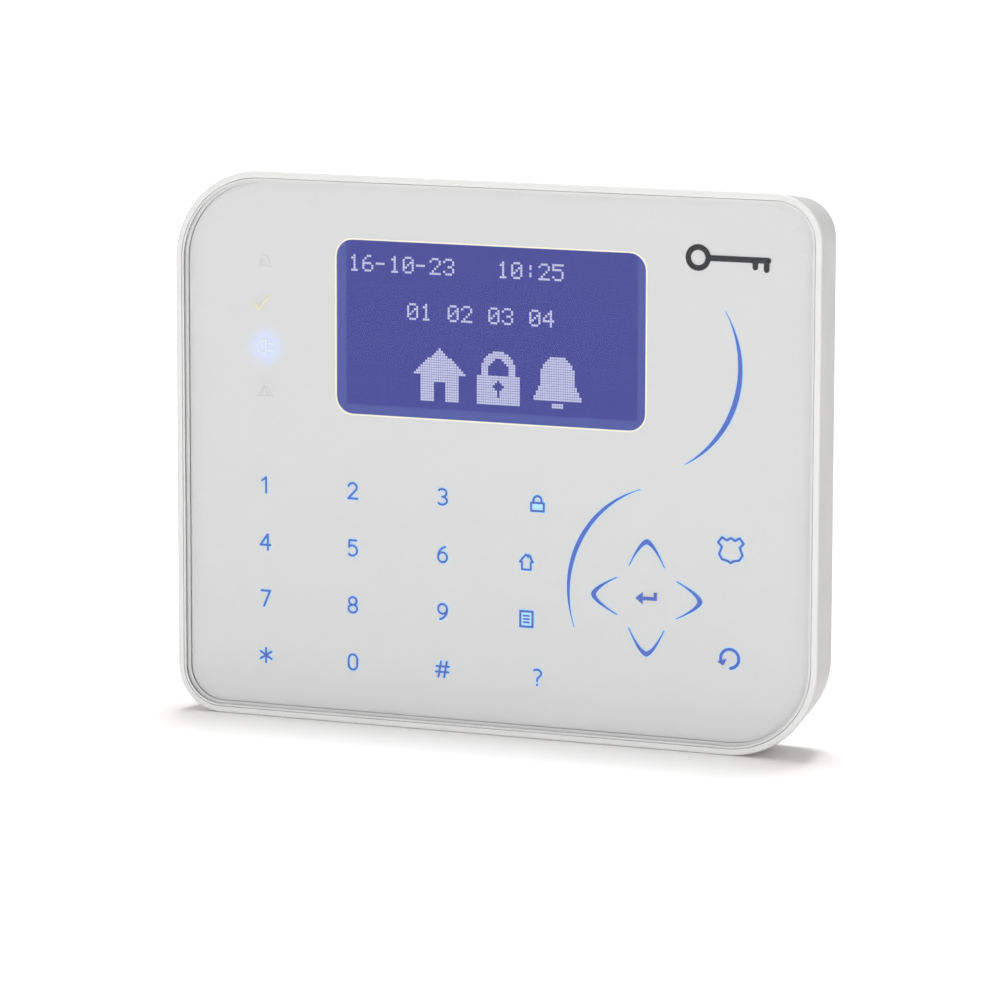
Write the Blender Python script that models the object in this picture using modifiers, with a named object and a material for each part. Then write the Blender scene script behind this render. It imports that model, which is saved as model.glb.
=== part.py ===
"""Touch keypad of an alarm system: a slim front unit that hangs on a wall base.

Metres, +Z up. The wall face of the base lies at Y = 0, the front faces -Y, and the origin is the
centre of the wall face. Depths in the front stack are counted from the front face towards the wall.
"""

import math

import bmesh
import bpy
from mathutils import Matrix

MM = 0.001

# Overall size
WIDTH = 147.5 * MM
HEIGHT = 118.7 * MM
DEPTH = 16.0 * MM
LARGE_CORNER = 19.8 * MM  # top left and bottom right, seen from the front
SMALL_CORNER = 10.0 * MM  # top right and bottom left
LARGE_STEPS = 16
SMALL_STEPS = 10
WALL_GAP = 1.6 * MM  # shadow gap between the housing's rim and the wall

# Gaps between neighbours
CLEAR = 0.3 * MM  # between fixed pieces
SWING_CLEAR = 0.5 * MM  # between the base and the housing that swings off it

# Front housing
DRAFT = math.radians(8)
WALL = 2.0 * MM
EDGE_ROUND = 0.6 * MM
BEZEL = 1.375 * MM  # rim beside the lens
LEDGE_THICK = 1.2 * MM
LEDGE_MARGIN = 0.4 * MM  # of ledge beyond each pillar
PILLAR_RADIUS = 2.2 * MM
PILOT_RADIUS = 1.15 * MM
PILOT_SKIN = 0.7 * MM
SCREW_HEAD_RADIUS = 3.4 * MM
SCREW_HEAD_THICK = 1.5 * MM
SCREW_SHANK_RADIUS = 0.8 * MM

# Front stack
LENS_THICK = 1.5 * MM
LENS_CHAMFER = 0.3 * MM
FILM_THICK = 0.3 * MM
FILM_INSET = 0.85 * MM  # from the lens's edge to the print's edge
TAPE_THICK = 0.3 * MM
BOARD_THICK = 1.6 * MM
BOARD_CLEAR = 0.5 * MM

FRONT = -DEPTH
FILM_Y = FRONT + LENS_THICK + CLEAR
TAPE_Y = FILM_Y + FILM_THICK + CLEAR
LEDGE_Y = TAPE_Y + TAPE_THICK + CLEAR
BOARD_Y = LEDGE_Y + LEDGE_THICK + CLEAR
BOARD_BACK = BOARD_Y + BOARD_THICK
REAR_Y = BOARD_BACK + CLEAR  # where the parts on the board's back begin
RIM_Y = -WALL_GAP
GUIDE_Y = TAPE_Y
GUIDE_THICK = BOARD_Y - CLEAR - GUIDE_Y

OPENING_INSET = BEZEL
LENS_INSET = BEZEL + CLEAR
PRINT_INSET = LENS_INSET + FILM_INSET
HEAD_DRAFT = (REAR_Y + SCREW_HEAD_THICK - FRONT) * math.tan(DRAFT)
PILLAR_INSET = WALL + HEAD_DRAFT + SCREW_HEAD_RADIUS + CLEAR
BOARD_INSET = WALL + (BOARD_BACK - FRONT) * math.tan(DRAFT) + BOARD_CLEAR
LEDGE_INSET = PILLAR_INSET + PILLAR_RADIUS + LEDGE_MARGIN
GUIDE_INSET = LEDGE_INSET + CLEAR

# Display: window, glasses, backlight and bracket
LCD_X = -1.0 * MM
LCD_Z = 26.7 * MM
WINDOW = (70.8 * MM, 37.5 * MM)
WINDOW_CORNER = 3.7 * MM
GLASS_WIDTH = 77.4 * MM
GLASS_HEIGHT = 43.0 * MM
GLASS_THICK = 1.0 * MM  # each of the two
GLASS_LEDGE = 5.0 * MM  # by which the rear glass stands out below
BACKLIGHT = (80.0 * MM, 52.4 * MM)
BACKLIGHT_THICK = 3.5 * MM
BACKLIGHT_DROP = 2.2 * MM  # its centre below the window's centre
FLEX_WIDTH = 24.0 * MM
FLEX_THICK = 0.2 * MM
FLEX_BEND = 1.2 * MM
BRACKET_SHEET = 0.8 * MM
BRACKET_HEIGHT = 34.0 * MM
BRACKET_FOOT = 6.0 * MM
BRACKET_HOLES = 22.0 * MM  # between the two screws of one foot

GLASS_Y = GUIDE_Y
GLASS_BACK = GLASS_Y + 2 * GLASS_THICK
GLASS_BOTTOM = LCD_Z - GLASS_HEIGHT / 2 - GLASS_LEDGE
BACKLIGHT_Y = GLASS_BACK + CLEAR
BACKLIGHT_BACK = BACKLIGHT_Y + BACKLIGHT_THICK
BACKLIGHT_Z = LCD_Z - BACKLIGHT_DROP
BACKLIGHT_BOTTOM = BACKLIGHT_Z - BACKLIGHT[1] / 2
FLEX_Z = BACKLIGHT_BOTTOM - 3 * CLEAR  # where the flat ribbon runs back past the board
CUTOUT_BOTTOM = FLEX_Z - 4 * CLEAR
CUTOUT_TOP = BACKLIGHT_Z + BACKLIGHT[1] / 2 + BOARD_CLEAR
CUTOUT_WIDTH = BACKLIGHT[0] + 2 * BOARD_CLEAR

# Keys and lights
KEY_COLUMNS = (-53.3 * MM, -32.7 * MM, -11.7 * MM, 10.2 * MM)
PAD_X = 34.9 * MM
PAD_Z = -27.35 * MM
PAD_REACH = 10.5 * MM
KEY_LIGHT_OUT = 5.0 * MM  # beyond the pad's reach
STATUS_X = -53.35 * MM
STATUS_TOP = 39.7 * MM
STATUS_PITCH = 9.3 * MM
LED = (2.0 * MM, 0.8 * MM, 1.2 * MM)
LED_POCKET = 0.4 * MM
CELL = (4.6 * MM, 5.6 * MM)
BAFFLE_WALL = 1.2 * MM

# Wall base
BASE_THICK = 2.0 * MM
BASE_RIM = 4.0 * MM
BASE_RIM_WALL = 1.2 * MM
BASE_INSET = (RIM_Y - FRONT) * math.tan(DRAFT) + WALL + SWING_CLEAR
ENTRY = (36.0 * MM, 26.0 * MM)
ENTRY_Z = 18.0 * MM
ENTRY_CORNER = 3.0 * MM
ENTRY_COLLAR = 1.2 * MM
CHANNEL_WIDTH = 8.0 * MM
CHANNEL_DEEP = 1.0 * MM
SCREW_SPACING = 60.3 * MM
SCREW_ROW_Z = 3.0 * MM  # middle of the two rows of wall screws
WALL_SCREW_RADIUS = 2.1 * MM
KEYHOLE_RADIUS = 4.2 * MM
KEYHOLE_DROP = 6.0 * MM
SLOT_LENGTH = 9.0 * MM
RIB_THICK = 1.0 * MM
RIB_HIGH = 1.2 * MM
RIB_X = 50.0 * MM
RIB_Z = -45.0 * MM

# Pivot of the front unit: two lugs in slots of the base's top rim
PIVOT_Y = -1.0 * MM
PIVOT_DROP = 0.35 * MM  # pivot line below the housing's inner top wall
LUG_X = 38.0 * MM
LUG_WIDTH = 9.0 * MM
LUG_THICK = 1.2 * MM
LUG_REACH = 1.3 * MM  # below the pivot line
LUG_SWEEP = 0.8 * MM  # room for the lug to turn in its slot
NOSE_WIDTH = 6.0 * MM
NOSE_OUT = 0.2 * MM

RIM_INNER_TOP = HEIGHT / 2 - (RIM_Y - FRONT) * math.tan(DRAFT) - WALL
PIVOT_Z = RIM_INNER_TOP - PIVOT_DROP
BASE_TOP = HEIGHT / 2 - BASE_INSET

# Tamper plunger
TAMPER_X = 42.0 * MM
TAMPER_Z = -36.0 * MM
SWITCH_SIZE = 8.0 * MM
SWITCH_THICK = 2.6 * MM
SWITCH_FLOOR = 0.5 * MM
ROD_RADIUS = 1.8 * MM
ROD_CLEAR = 0.4 * MM
COLLAR_THICK = 0.8 * MM
TAMPER_OUT = 1.5 * MM  # beyond the wall face, and the travel
BASE_FACE = -BASE_THICK
COLLAR_Y = BASE_FACE - 2 * CLEAR - COLLAR_THICK
SWITCH_BACK = REAR_Y + SWITCH_THICK
SPRING_WIRE = 0.2 * MM  # half its thickness
SPRING_TURNS = 3
SPRING_RADIUS = ROD_RADIUS + ROD_CLEAR + SPRING_WIRE
COLLAR_RADIUS = SPRING_RADIUS + SPRING_WIRE + ROD_CLEAR

# Parts on the board's back
TERMINALS = 4
TERMINAL_PITCH = 5.0 * MM
TERMINAL_SIZE = (22.0 * MM, 6.6 * MM, 8.0 * MM)
TERMINAL_Z = -18.0 * MM
WELL_RADIUS = 1.9 * MM
WIRE_ENTRY = 3.4 * MM
HEADER_PINS = 4
HEADER_PITCH = 2.54 * MM
PIN = 0.64 * MM
HEADER_X = 53.0 * MM
HEADER_Z = -14.0 * MM

parts = None
tools = None


def start():
    """Empties the scene and makes the two collections."""
    global parts, tools
    for obj in list(bpy.data.objects):
        bpy.data.objects.remove(obj, do_unlink=True)
    parts = bpy.data.collections.new("alarm_keypad")
    tools = bpy.data.collections.new("cutters")
    bpy.context.scene.collection.children.link(parts)
    bpy.context.scene.collection.children.link(tools)


def material(name, colour, roughness, metallic=0.0, alpha=1.0):
    """A Principled material."""
    made = bpy.data.materials.new(name)
    made.use_nodes = True
    shader = made.node_tree.nodes["Principled BSDF"]
    shader.inputs["Base Color"].default_value = (*colour, 1.0)
    shader.inputs["Roughness"].default_value = roughness
    shader.inputs["Metallic"].default_value = metallic
    shader.inputs["Alpha"].default_value = alpha
    return made


# --- Shapes ---------------------------------------------------------------------------------------


def rounded(width, height, radii, centre=(0.0, 0.0), steps=(6, 6, 6, 6)):
    """Points (x, z) of a rounded rectangle; radii run top left, top right, bottom right, bottom left."""
    points = []
    signs = ((-1, 1, 180), (1, 1, 90), (1, -1, 0), (-1, -1, -90))
    for (side, level, start_angle), radius, count in zip(signs, radii, steps):
        x = centre[0] + side * (width / 2 - radius)
        z = centre[1] + level * (height / 2 - radius)
        for step in range(count + 1):
            angle = math.radians(start_angle - 90 * step / count)
            points.append((x + radius * math.cos(angle), z + radius * math.sin(angle)))
    return points


def window(width, height, radius, centre):
    """Points of a rounded rectangle with four equal corners."""
    return rounded(width, height, (radius,) * 4, centre, (5,) * 4)


def rectangle(width, height, centre):
    """Corner points of a plain rectangle."""
    x, z = centre
    w, h = width / 2, height / 2
    return [(x - w, z + h), (x + w, z + h), (x + w, z - h), (x - w, z - h)]


def circle(radius, centre, sides=20):
    """Points of a circle."""
    turns = [2 * math.pi * i / sides for i in range(sides)]
    return [(centre[0] + radius * math.cos(t), centre[1] + radius * math.sin(t)) for t in turns]


def panel(inset):
    """The panel's outline, moved in by inset. Two corners are large and two small."""
    least = 0.5 * MM
    large = max(LARGE_CORNER - inset, least)
    small = max(SMALL_CORNER - inset, least)
    steps = (LARGE_STEPS, SMALL_STEPS, LARGE_STEPS, SMALL_STEPS)
    radii = (large, small, large, small)
    return rounded(WIDTH - 2 * inset, HEIGHT - 2 * inset, radii, steps=steps)


def add(name, mesh, place=(0.0, 0.0, 0.0), collection=None):
    """Puts a mesh into the scene as an object at place."""
    obj = bpy.data.objects.new(name, mesh)
    obj.location = place
    (collection or parts).objects.link(obj)
    return obj


def mesh_of(name, bm):
    """Writes a bmesh to a new mesh, smooth but for its edges."""
    bmesh.ops.recalc_face_normals(bm, faces=bm.faces)
    mesh = bpy.data.meshes.new(name)
    bm.to_mesh(mesh)
    bm.free()
    mesh.shade_smooth()
    mesh.set_sharp_from_angle(angle=math.radians(30))
    return mesh


def welded(name, curve, place):
    """Turns a curve into a closed mesh, with its caps welded on, and removes the curve."""
    guide = bpy.data.objects.new(name + "_curve", curve)
    tools.objects.link(guide)
    graph = bpy.context.evaluated_depsgraph_get()
    mesh = bpy.data.meshes.new_from_object(guide.evaluated_get(graph))
    bm = bmesh.new()
    bm.from_mesh(mesh)
    bmesh.ops.remove_doubles(bm, verts=bm.verts, dist=0.002 * MM)
    bpy.data.meshes.remove(mesh)
    bpy.data.objects.remove(guide, do_unlink=True)
    bpy.data.curves.remove(curve)
    return add(name, mesh_of(name, bm), place)


def plate(name, loops, y, thick):
    """A flat piece that stands upright from y to y + thick: an outline, then its holes."""
    curve = bpy.data.curves.new(name, "CURVE")
    curve.dimensions = "2D"
    curve.fill_mode = "BOTH"
    curve.extrude = thick / 2
    for loop in loops:
        spline = curve.splines.new("POLY")
        spline.points.add(len(loop) - 1)
        for point, (x, z) in zip(spline.points, loop):
            point.co = (x, z, 0.0, 1.0)
        spline.use_cyclic_u = True
    obj = welded(name, curve, (0.0, y + thick / 2, 0.0))
    obj.data.transform(Matrix.Rotation(math.radians(90), 4, "X"))
    return obj


def block(name, size, place):
    """A box centred on x and z, which runs back from place's y."""
    bm = bmesh.new()
    bmesh.ops.create_cube(bm, size=1.0, matrix=Matrix.Diagonal((*size, 1.0)))
    bmesh.ops.translate(bm, verts=bm.verts, vec=(0.0, size[1] / 2, 0.0))
    return add(name, mesh_of(name, bm), place)


def rod(name, radius, length, place, sides=24, tip_radius=None):
    """A cylinder or cone frustum along Y that starts at place and runs back."""
    turn = Matrix.Rotation(math.radians(-90), 4, "X") @ Matrix.Translation((0, 0, length / 2))
    bm = bmesh.new()
    tip = radius if tip_radius is None else tip_radius
    bmesh.ops.create_cone(
        bm, cap_ends=True, segments=sides, radius1=radius, radius2=tip, depth=length, matrix=turn
    )
    return add(name, mesh_of(name, bm), place)


def tray(name, inset, front_y, back_y, wall, floor):
    """A flat tray with the panel's outline, open to the front."""
    bm = bmesh.new()
    back = bm.faces.new([bm.verts.new((x, back_y, z)) for x, z in panel(inset)])
    back.normal_update()
    if back.normal.y < 0:
        back.normal_flip()
    grown = bmesh.ops.extrude_face_region(bm, geom=[back], use_keep_orig=True)["geom"]
    rim = [vert for vert in grown if isinstance(vert, bmesh.types.BMVert)]
    bmesh.ops.translate(bm, verts=rim, vec=(0.0, front_y - back_y, 0.0))
    front = next(face for face in grown if isinstance(face, bmesh.types.BMFace))
    front.normal_update()
    if front.normal.y > 0:
        front.normal_flip()
    bmesh.ops.inset_region(bm, faces=[front], thickness=wall, depth=0.0, use_even_offset=True)
    deep = back_y - floor - front_y
    bmesh.ops.inset_region(bm, faces=[front], thickness=0.0, depth=-deep, use_even_offset=True)
    return add(name, mesh_of(name, bm))


def drafted(name, inset, front_y, back_y, edge_round=0.0):
    """A block with the panel's outline that narrows towards the wall, its front edge rounded."""
    bm = bmesh.new()
    widest_y = front_y + edge_round
    shrink = inset + (widest_y - edge_round - FRONT) * math.tan(DRAFT)
    ring = [bm.verts.new((x, widest_y, z)) for x, z in panel(shrink)]
    back = bm.faces.new(ring)
    back.normal_update()
    if back.normal.y < 0:
        back.normal_flip()
    length = back_y - widest_y
    bmesh.ops.inset_region(
        bm,
        faces=[back],
        thickness=length * math.tan(DRAFT),
        depth=length,
        use_boundary=True,
        use_even_offset=True,
    )
    rim = [edge for edge in bm.edges if edge.is_boundary]
    front = bmesh.ops.contextual_create(bm, geom=rim)["faces"][0]
    front.normal_update()
    if front.normal.y > 0:
        front.normal_flip()
    arc_steps = 4 if edge_round else 0
    for step in range(arc_steps):
        low = math.radians(90 * step / arc_steps)
        high = math.radians(90 * (step + 1) / arc_steps)
        bmesh.ops.inset_region(
            bm,
            faces=[front],
            thickness=edge_round * (math.cos(low) - math.cos(high)),
            depth=edge_round * (math.sin(high) - math.sin(low)),
            use_even_offset=True,
        )
    return add(name, mesh_of(name, bm))


def as_tool(tool):
    """Moves an object to the cutters, so that it isn't a piece of its own."""
    for collection in list(tool.users_collection):
        collection.objects.unlink(tool)
    tools.objects.link(tool)
    tool.hide_render = True
    tool.display_type = "WIRE"
    return tool


def combine(target, operation, pieces, solver):
    """Adds one Boolean to target for each tool."""
    for tool in pieces:
        modifier = target.modifiers.new(operation.lower(), "BOOLEAN")
        modifier.operation = operation
        modifier.solver = solver
        modifier.object = as_tool(tool)


def cut(target, *pieces, solver="EXACT"):
    combine(target, "DIFFERENCE", pieces, solver)


def join(target, *pieces, solver="EXACT"):
    combine(target, "UNION", pieces, solver)


def soften(obj, width, segments=2, angle=40):
    """Rounds the sharp edges."""
    bevel = obj.modifiers.new("edges", "BEVEL")
    bevel.width = width
    bevel.segments = segments
    bevel.limit_method = "ANGLE"
    bevel.angle_limit = math.radians(angle)
    bevel.harden_normals = False


def settled(obj):
    """Replaces an object's mesh with its evaluated one."""
    bpy.context.view_layer.update()
    graph = bpy.context.evaluated_depsgraph_get()
    mesh = bpy.data.meshes.new_from_object(obj.evaluated_get(graph))
    obj.modifiers.clear()
    obj.data = mesh
    return obj


def paint(obj, finish):
    """Gives an object its material, and returns it."""
    obj.data.materials.clear()
    obj.data.materials.append(finish)
    return obj


def copies(name, sample, places, finish):
    """One numbered object for each place, all with the sample's mesh; the sample goes."""
    shape = paint(settled(sample), finish).data
    bpy.data.objects.remove(sample, do_unlink=True)
    return [add(f"{name}_{number}", shape, place) for number, place in enumerate(places, 1)]


def hang(obj, parent):
    """Parents an object and leaves it where it is."""
    bpy.context.view_layer.update()
    obj.parent = parent
    obj.matrix_parent_inverse = parent.matrix_world.inverted()


def empty(name, place):
    """An empty that marks a joint."""
    marker = bpy.data.objects.new(name, None)
    marker.location = place
    marker.empty_display_size = 5 * MM
    parts.objects.link(marker)
    return marker


# --- Places ---------------------------------------------------------------------------------------


def pillar_places():
    """The screw pillars: one in each corner and one at each side."""
    places = []
    for side, level, radius in (
        (-1, 1, LARGE_CORNER),
        (1, 1, SMALL_CORNER),
        (1, -1, LARGE_CORNER),
        (-1, -1, SMALL_CORNER),
    ):
        along = max(radius - PILLAR_INSET, 0.0) * math.sqrt(0.5)
        x = side * (WIDTH / 2 - max(radius, PILLAR_INSET) + along)
        z = level * (HEIGHT / 2 - max(radius, PILLAR_INSET) + along)
        places.append((x, z))
    edge = WIDTH / 2 - PILLAR_INSET
    places += [(-edge, 0.0), (edge, 0.0)]
    return places


def key_light_places():
    """Two key lights between the number columns and one on each side of the round pad."""
    columns = KEY_COLUMNS
    gaps = ((columns[0] + columns[1]) / 2, (columns[2] + columns[3]) / 2)
    xs = (*gaps, PAD_X - PAD_REACH - KEY_LIGHT_OUT, PAD_X + PAD_REACH + KEY_LIGHT_OUT)
    return [(x, PAD_Z) for x in xs]


def status_places():
    """The four status lights, top to bottom."""
    return [(STATUS_X, STATUS_TOP - row * STATUS_PITCH) for row in range(4)]


def bracket_places():
    """The four screws of the display bracket."""
    x = BACKLIGHT[0] / 2 + 3 * CLEAR + BRACKET_SHEET + BRACKET_FOOT / 2
    return [
        (LCD_X + side * x, BACKLIGHT_Z + level * BRACKET_HOLES / 2)
        for side in (-1, 1)
        for level in (1, -1)
    ]


def wall_screw_places():
    """The wall screws: keyholes above, slots below."""
    half = SCREW_SPACING / 2
    return [(side * half, SCREW_ROW_Z + level * half) for level in (1, -1) for side in (-1, 1)]


# --- Front unit: housing and front stack ------------------------------------------------------------


def front_housing(finish):
    """The moulded ring: bezel, drafted wall, ledge for the lens, pillars and pivot lugs."""
    housing = drafted("front_housing", 0.0, FRONT, RIM_Y, EDGE_ROUND)
    cavity = drafted("cavity", WALL, LEDGE_Y + LEDGE_THICK, RIM_Y + 2 * MM)
    over = 1 * MM
    recess = plate("lens_recess", [panel(OPENING_INSET)], FRONT - over, LEDGE_Y - FRONT + over)
    hole = plate("ledge_hole", [panel(LEDGE_INSET)], LEDGE_Y - over, LEDGE_THICK + 2 * over)
    cut(housing, cavity, recess, hole)
    # At some sizes the exact solver leaves slits at the corners of the ledge's edge.
    pillar_y = LEDGE_Y + LEDGE_THICK / 2
    pillar_long = BOARD_BACK - pillar_y
    for x, z in pillar_places():
        join(housing, rod("pillar", PILLAR_RADIUS, pillar_long, (x, pillar_y, z)), solver="MANIFOLD")
    pilot_y = LEDGE_Y + PILOT_SKIN
    pilot_long = BOARD_BACK - pilot_y + over
    for x, z in pillar_places():
        cut(housing, rod("pilot", PILOT_RADIUS, pilot_long, (x, pilot_y, z), 16), solver="MANIFOLD")
    lug_top = RIM_INNER_TOP + WALL / 2
    lug_bottom = PIVOT_Z - LUG_REACH
    lug_y = RIM_Y - 0.2 * MM - LUG_THICK
    lug_size = (LUG_WIDTH, LUG_THICK, lug_top - lug_bottom)
    for side in (-1, 1):
        place = (side * LUG_X, lug_y, (lug_top + lug_bottom) / 2)
        join(housing, block("pivot_lug", lug_size, place), solver="MANIFOLD")
    return paint(housing, finish)


def touch_lens(finish):
    """The clear front plate, flush with the bezel."""
    lens = plate("touch_lens", [panel(LENS_INSET)], FRONT, LENS_THICK)
    soften(lens, LENS_CHAMFER, 2, 60)
    return paint(lens, finish)


def legend_film(finish):
    """The printed film behind the lens, with the display window."""
    opening = window(*WINDOW, WINDOW_CORNER, (LCD_X, LCD_Z))
    film = plate("legend_film", [panel(PRINT_INSET), opening], FILM_Y, FILM_THICK)
    return paint(film, finish)


def lens_tape(finish):
    """The foam tape ring between the film and the ledge."""
    tape = plate("lens_tape", [panel(PRINT_INSET), panel(LEDGE_INSET - CLEAR)], TAPE_Y, TAPE_THICK)
    return paint(tape, finish)


def glass_cutout(margin):
    """The outline that clears the glasses and the flat ribbon below them."""
    top = LCD_Z + GLASS_HEIGHT / 2 + margin
    width = GLASS_WIDTH + 2 * margin
    return rectangle(width, top - CUTOUT_BOTTOM, (LCD_X, (top + CUTOUT_BOTTOM) / 2))


def light_guide(finish):
    """The clear plate that spreads the key lights, with a pocket round each light."""
    pocket = (LED[0] + 2 * LED_POCKET, LED[2] + 2 * LED_POCKET)
    loops = [panel(GUIDE_INSET), glass_cutout(CLEAR)]
    loops += [rectangle(*pocket, place) for place in key_light_places()]
    width, height = baffle_size()
    loops.append(rectangle(width + 2 * CLEAR, height + 2 * CLEAR, baffle_centre()))
    guide = plate("light_guide", loops, GUIDE_Y, GUIDE_THICK)
    return paint(guide, finish)


def baffle_size():
    """Width and height of the strip round the status lights."""
    return CELL[0] + 2 * BAFFLE_WALL, 3 * STATUS_PITCH + CELL[1] + 2 * BAFFLE_WALL


def baffle_centre():
    """Middle of the strip round the status lights."""
    return STATUS_X, STATUS_TOP - 1.5 * STATUS_PITCH


def status_baffle(finish):
    """The strip with one cell for each status light."""
    cells = [rectangle(*CELL, place) for place in status_places()]
    outline = rectangle(*baffle_size(), baffle_centre())
    baffle = plate("status_baffle", [outline, *cells], GUIDE_Y, GUIDE_THICK)
    return paint(baffle, finish)


def lights(name, places, finish):
    """Small LEDs on the board's front."""
    y = BOARD_Y - CLEAR - LED[1]
    sample = block("sample", LED, (0.0, 0.0, 0.0))
    soften(sample, 0.12 * MM, 1)
    return copies(name, sample, [(x, y, z) for x, z in places], finish)


# --- Front unit: display ----------------------------------------------------------------------------


def lcd_glass(finish):
    """The two glasses; the rear one stands out below and carries the driver chip."""
    pair = (GLASS_WIDTH, 2 * GLASS_THICK, GLASS_HEIGHT)
    glass = block("lcd_glass", pair, (LCD_X, GLASS_Y, LCD_Z))
    rear_height = GLASS_HEIGHT + GLASS_LEDGE
    rear = (GLASS_WIDTH, GLASS_THICK, rear_height)
    middle = GLASS_BOTTOM + rear_height / 2
    join(glass, block("rear_glass", rear, (LCD_X, GLASS_Y + GLASS_THICK, middle)))
    return paint(glass, finish)


def lcd_driver_chip(finish):
    """The bare chip on the glass ledge."""
    size = (16 * MM, 0.4 * MM, 1.6 * MM)
    y = GLASS_Y + GLASS_THICK - CLEAR - size[1]
    z = GLASS_BOTTOM + GLASS_LEDGE - CLEAR - size[2] / 2 - 0.2 * MM
    chip = block("lcd_driver_chip", size, (LCD_X, y, z))
    return paint(chip, finish)


def lcd_backlight(finish):
    """The moulded tray and diffuser behind the glasses."""
    size = (BACKLIGHT[0], BACKLIGHT_THICK, BACKLIGHT[1])
    backlight = block("lcd_backlight", size, (LCD_X, BACKLIGHT_Y, BACKLIGHT_Z))
    soften(backlight, 0.5 * MM, 2)
    return paint(backlight, finish)


def sheet_strip(name, path, axis, low, high, thick):
    """A strip of sheet along path, points (y, other), extruded along axis from low to high."""
    bm = bmesh.new()
    rows = []
    for y, other in path:
        if axis == "X":
            ends = [(low, y, other), (high, y, other)]
        else:
            ends = [(other, y, low), (other, y, high)]
        rows.append([bm.verts.new(point) for point in ends])
    for (a, b), (c, d) in zip(rows, rows[1:]):
        bm.faces.new((a, b, d, c))
    strip = add(name, mesh_of(name, bm))
    solid = strip.modifiers.new("sheet", "SOLIDIFY")
    solid.thickness = thick
    solid.offset = 0.0
    solid.use_even_offset = True
    return strip


def bend(centre, radius, first, last, steps=5):
    """Points (y, other) of a bend round centre, from angle first to angle last in degrees."""
    angles = [math.radians(first + (last - first) * i / steps) for i in range(steps + 1)]
    return [(centre[0] + radius * math.cos(a), centre[1] + radius * math.sin(a)) for a in angles]


def lcd_flex(finish):
    """The flat ribbon: down off the glass ledge, back through the cut-out and down the board."""
    start_y = GLASS_Y + GLASS_THICK - CLEAR - FLEX_THICK / 2
    end_y = REAR_Y + FLEX_THICK / 2 + CLEAR
    path = [(start_y, GLASS_BOTTOM + GLASS_LEDGE * 0.3)]
    path += bend((start_y + FLEX_BEND, FLEX_Z + FLEX_BEND), FLEX_BEND, 180, 270)
    path += bend((end_y - FLEX_BEND, FLEX_Z - FLEX_BEND), FLEX_BEND, 90, 0)
    path.append((end_y, connector_top() + CLEAR))
    half = FLEX_WIDTH / 2
    flex = sheet_strip("lcd_flex", path, "X", LCD_X - half, LCD_X + half, FLEX_THICK)
    return paint(flex, finish)


def connector_top():
    """Upper side of the ribbon's connector."""
    return CUTOUT_BOTTOM - 4 * MM


def lcd_connector(finish):
    """The ribbon's connector on the board's back."""
    size = (FLEX_WIDTH + 3 * MM, 1.8 * MM, 3.6 * MM)
    body = block("lcd_connector", size, (LCD_X, REAR_Y, connector_top() - size[2] / 2))
    soften(body, 0.2 * MM, 1)
    return paint(body, finish)


def lcd_bracket(finish):
    """The bent strap over the display's back, with two feet on the board."""
    inner = BACKLIGHT[0] / 2 + 3 * CLEAR + BRACKET_SHEET / 2
    outer = inner + BRACKET_SHEET / 2 + BRACKET_FOOT
    foot_y = REAR_Y + BRACKET_SHEET / 2
    back_y = BACKLIGHT_BACK + CLEAR + BRACKET_SHEET / 2
    path = [
        (foot_y, LCD_X - outer),
        (foot_y, LCD_X - inner),
        (back_y, LCD_X - inner),
        (back_y, LCD_X + inner),
        (foot_y, LCD_X + inner),
        (foot_y, LCD_X + outer),
    ]
    half = BRACKET_HEIGHT / 2
    bracket = sheet_strip(
        "lcd_bracket", path, "Z", BACKLIGHT_Z - half, BACKLIGHT_Z + half, BRACKET_SHEET
    )
    for x, z in bracket_places():
        hole_radius = SCREW_SHANK_RADIUS + CLEAR
        cut(bracket, rod("bracket_hole", hole_radius, 2 * MM, (x, REAR_Y - 0.6 * MM, z), 16))
    for side in (-1, 1):
        size = (BACKLIGHT[0] / 2 - 10 * MM, 3 * MM, BRACKET_HEIGHT - 12 * MM)
        place = (LCD_X + side * BACKLIGHT[0] / 4, BACKLIGHT_BACK - 1 * MM, BACKLIGHT_Z)
        cut(bracket, block("bracket_window", size, place))
    return paint(bracket, finish)


def cross_screw(name, head_radius, head_thick, shank_radius, shank):
    """A pan-head screw with a cross recess; its head's underside is at Y = 0, its shank in front."""
    screw = rod(name, head_radius, head_thick, (0, 0, 0), 24, head_radius * 0.78)
    join(screw, rod("shank", shank_radius, shank + head_thick / 2, (0, -shank, 0), 12))
    arm = head_radius * 1.1
    deep = head_thick * 0.55
    for size in ((arm, deep * 2, arm * 0.22), (arm * 0.22, deep * 2, arm)):
        cut(screw, block("recess", size, (0, head_thick - deep, 0)))
    return screw


def bracket_screws(finish):
    """Four screws through the bracket's feet into the board."""
    seat = REAR_Y + BRACKET_SHEET + CLEAR
    shank = seat - BOARD_Y - CLEAR
    sample = cross_screw("sample", 2.0 * MM, 1.1 * MM, SCREW_SHANK_RADIUS, shank)
    places = [(x, seat, z) for x, z in bracket_places()]
    return copies("bracket_screw", sample, places, finish)


# --- Front unit: board and its parts ------------------------------------------------------------------


def main_board(finish):
    """The board, cut out for the display, with a hole for each pillar and bracket screw."""
    height = CUTOUT_TOP - CUTOUT_BOTTOM
    loops = [panel(BOARD_INSET)]
    loops.append(rectangle(CUTOUT_WIDTH, height, (LCD_X, (CUTOUT_TOP + CUTOUT_BOTTOM) / 2)))
    loops += [circle(PILLAR_RADIUS + CLEAR, place) for place in pillar_places()]
    loops += [circle(SCREW_SHANK_RADIUS + CLEAR, place, 12) for place in bracket_places()]
    board = plate("main_board", loops, BOARD_Y, BOARD_THICK)
    return paint(board, finish)


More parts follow.
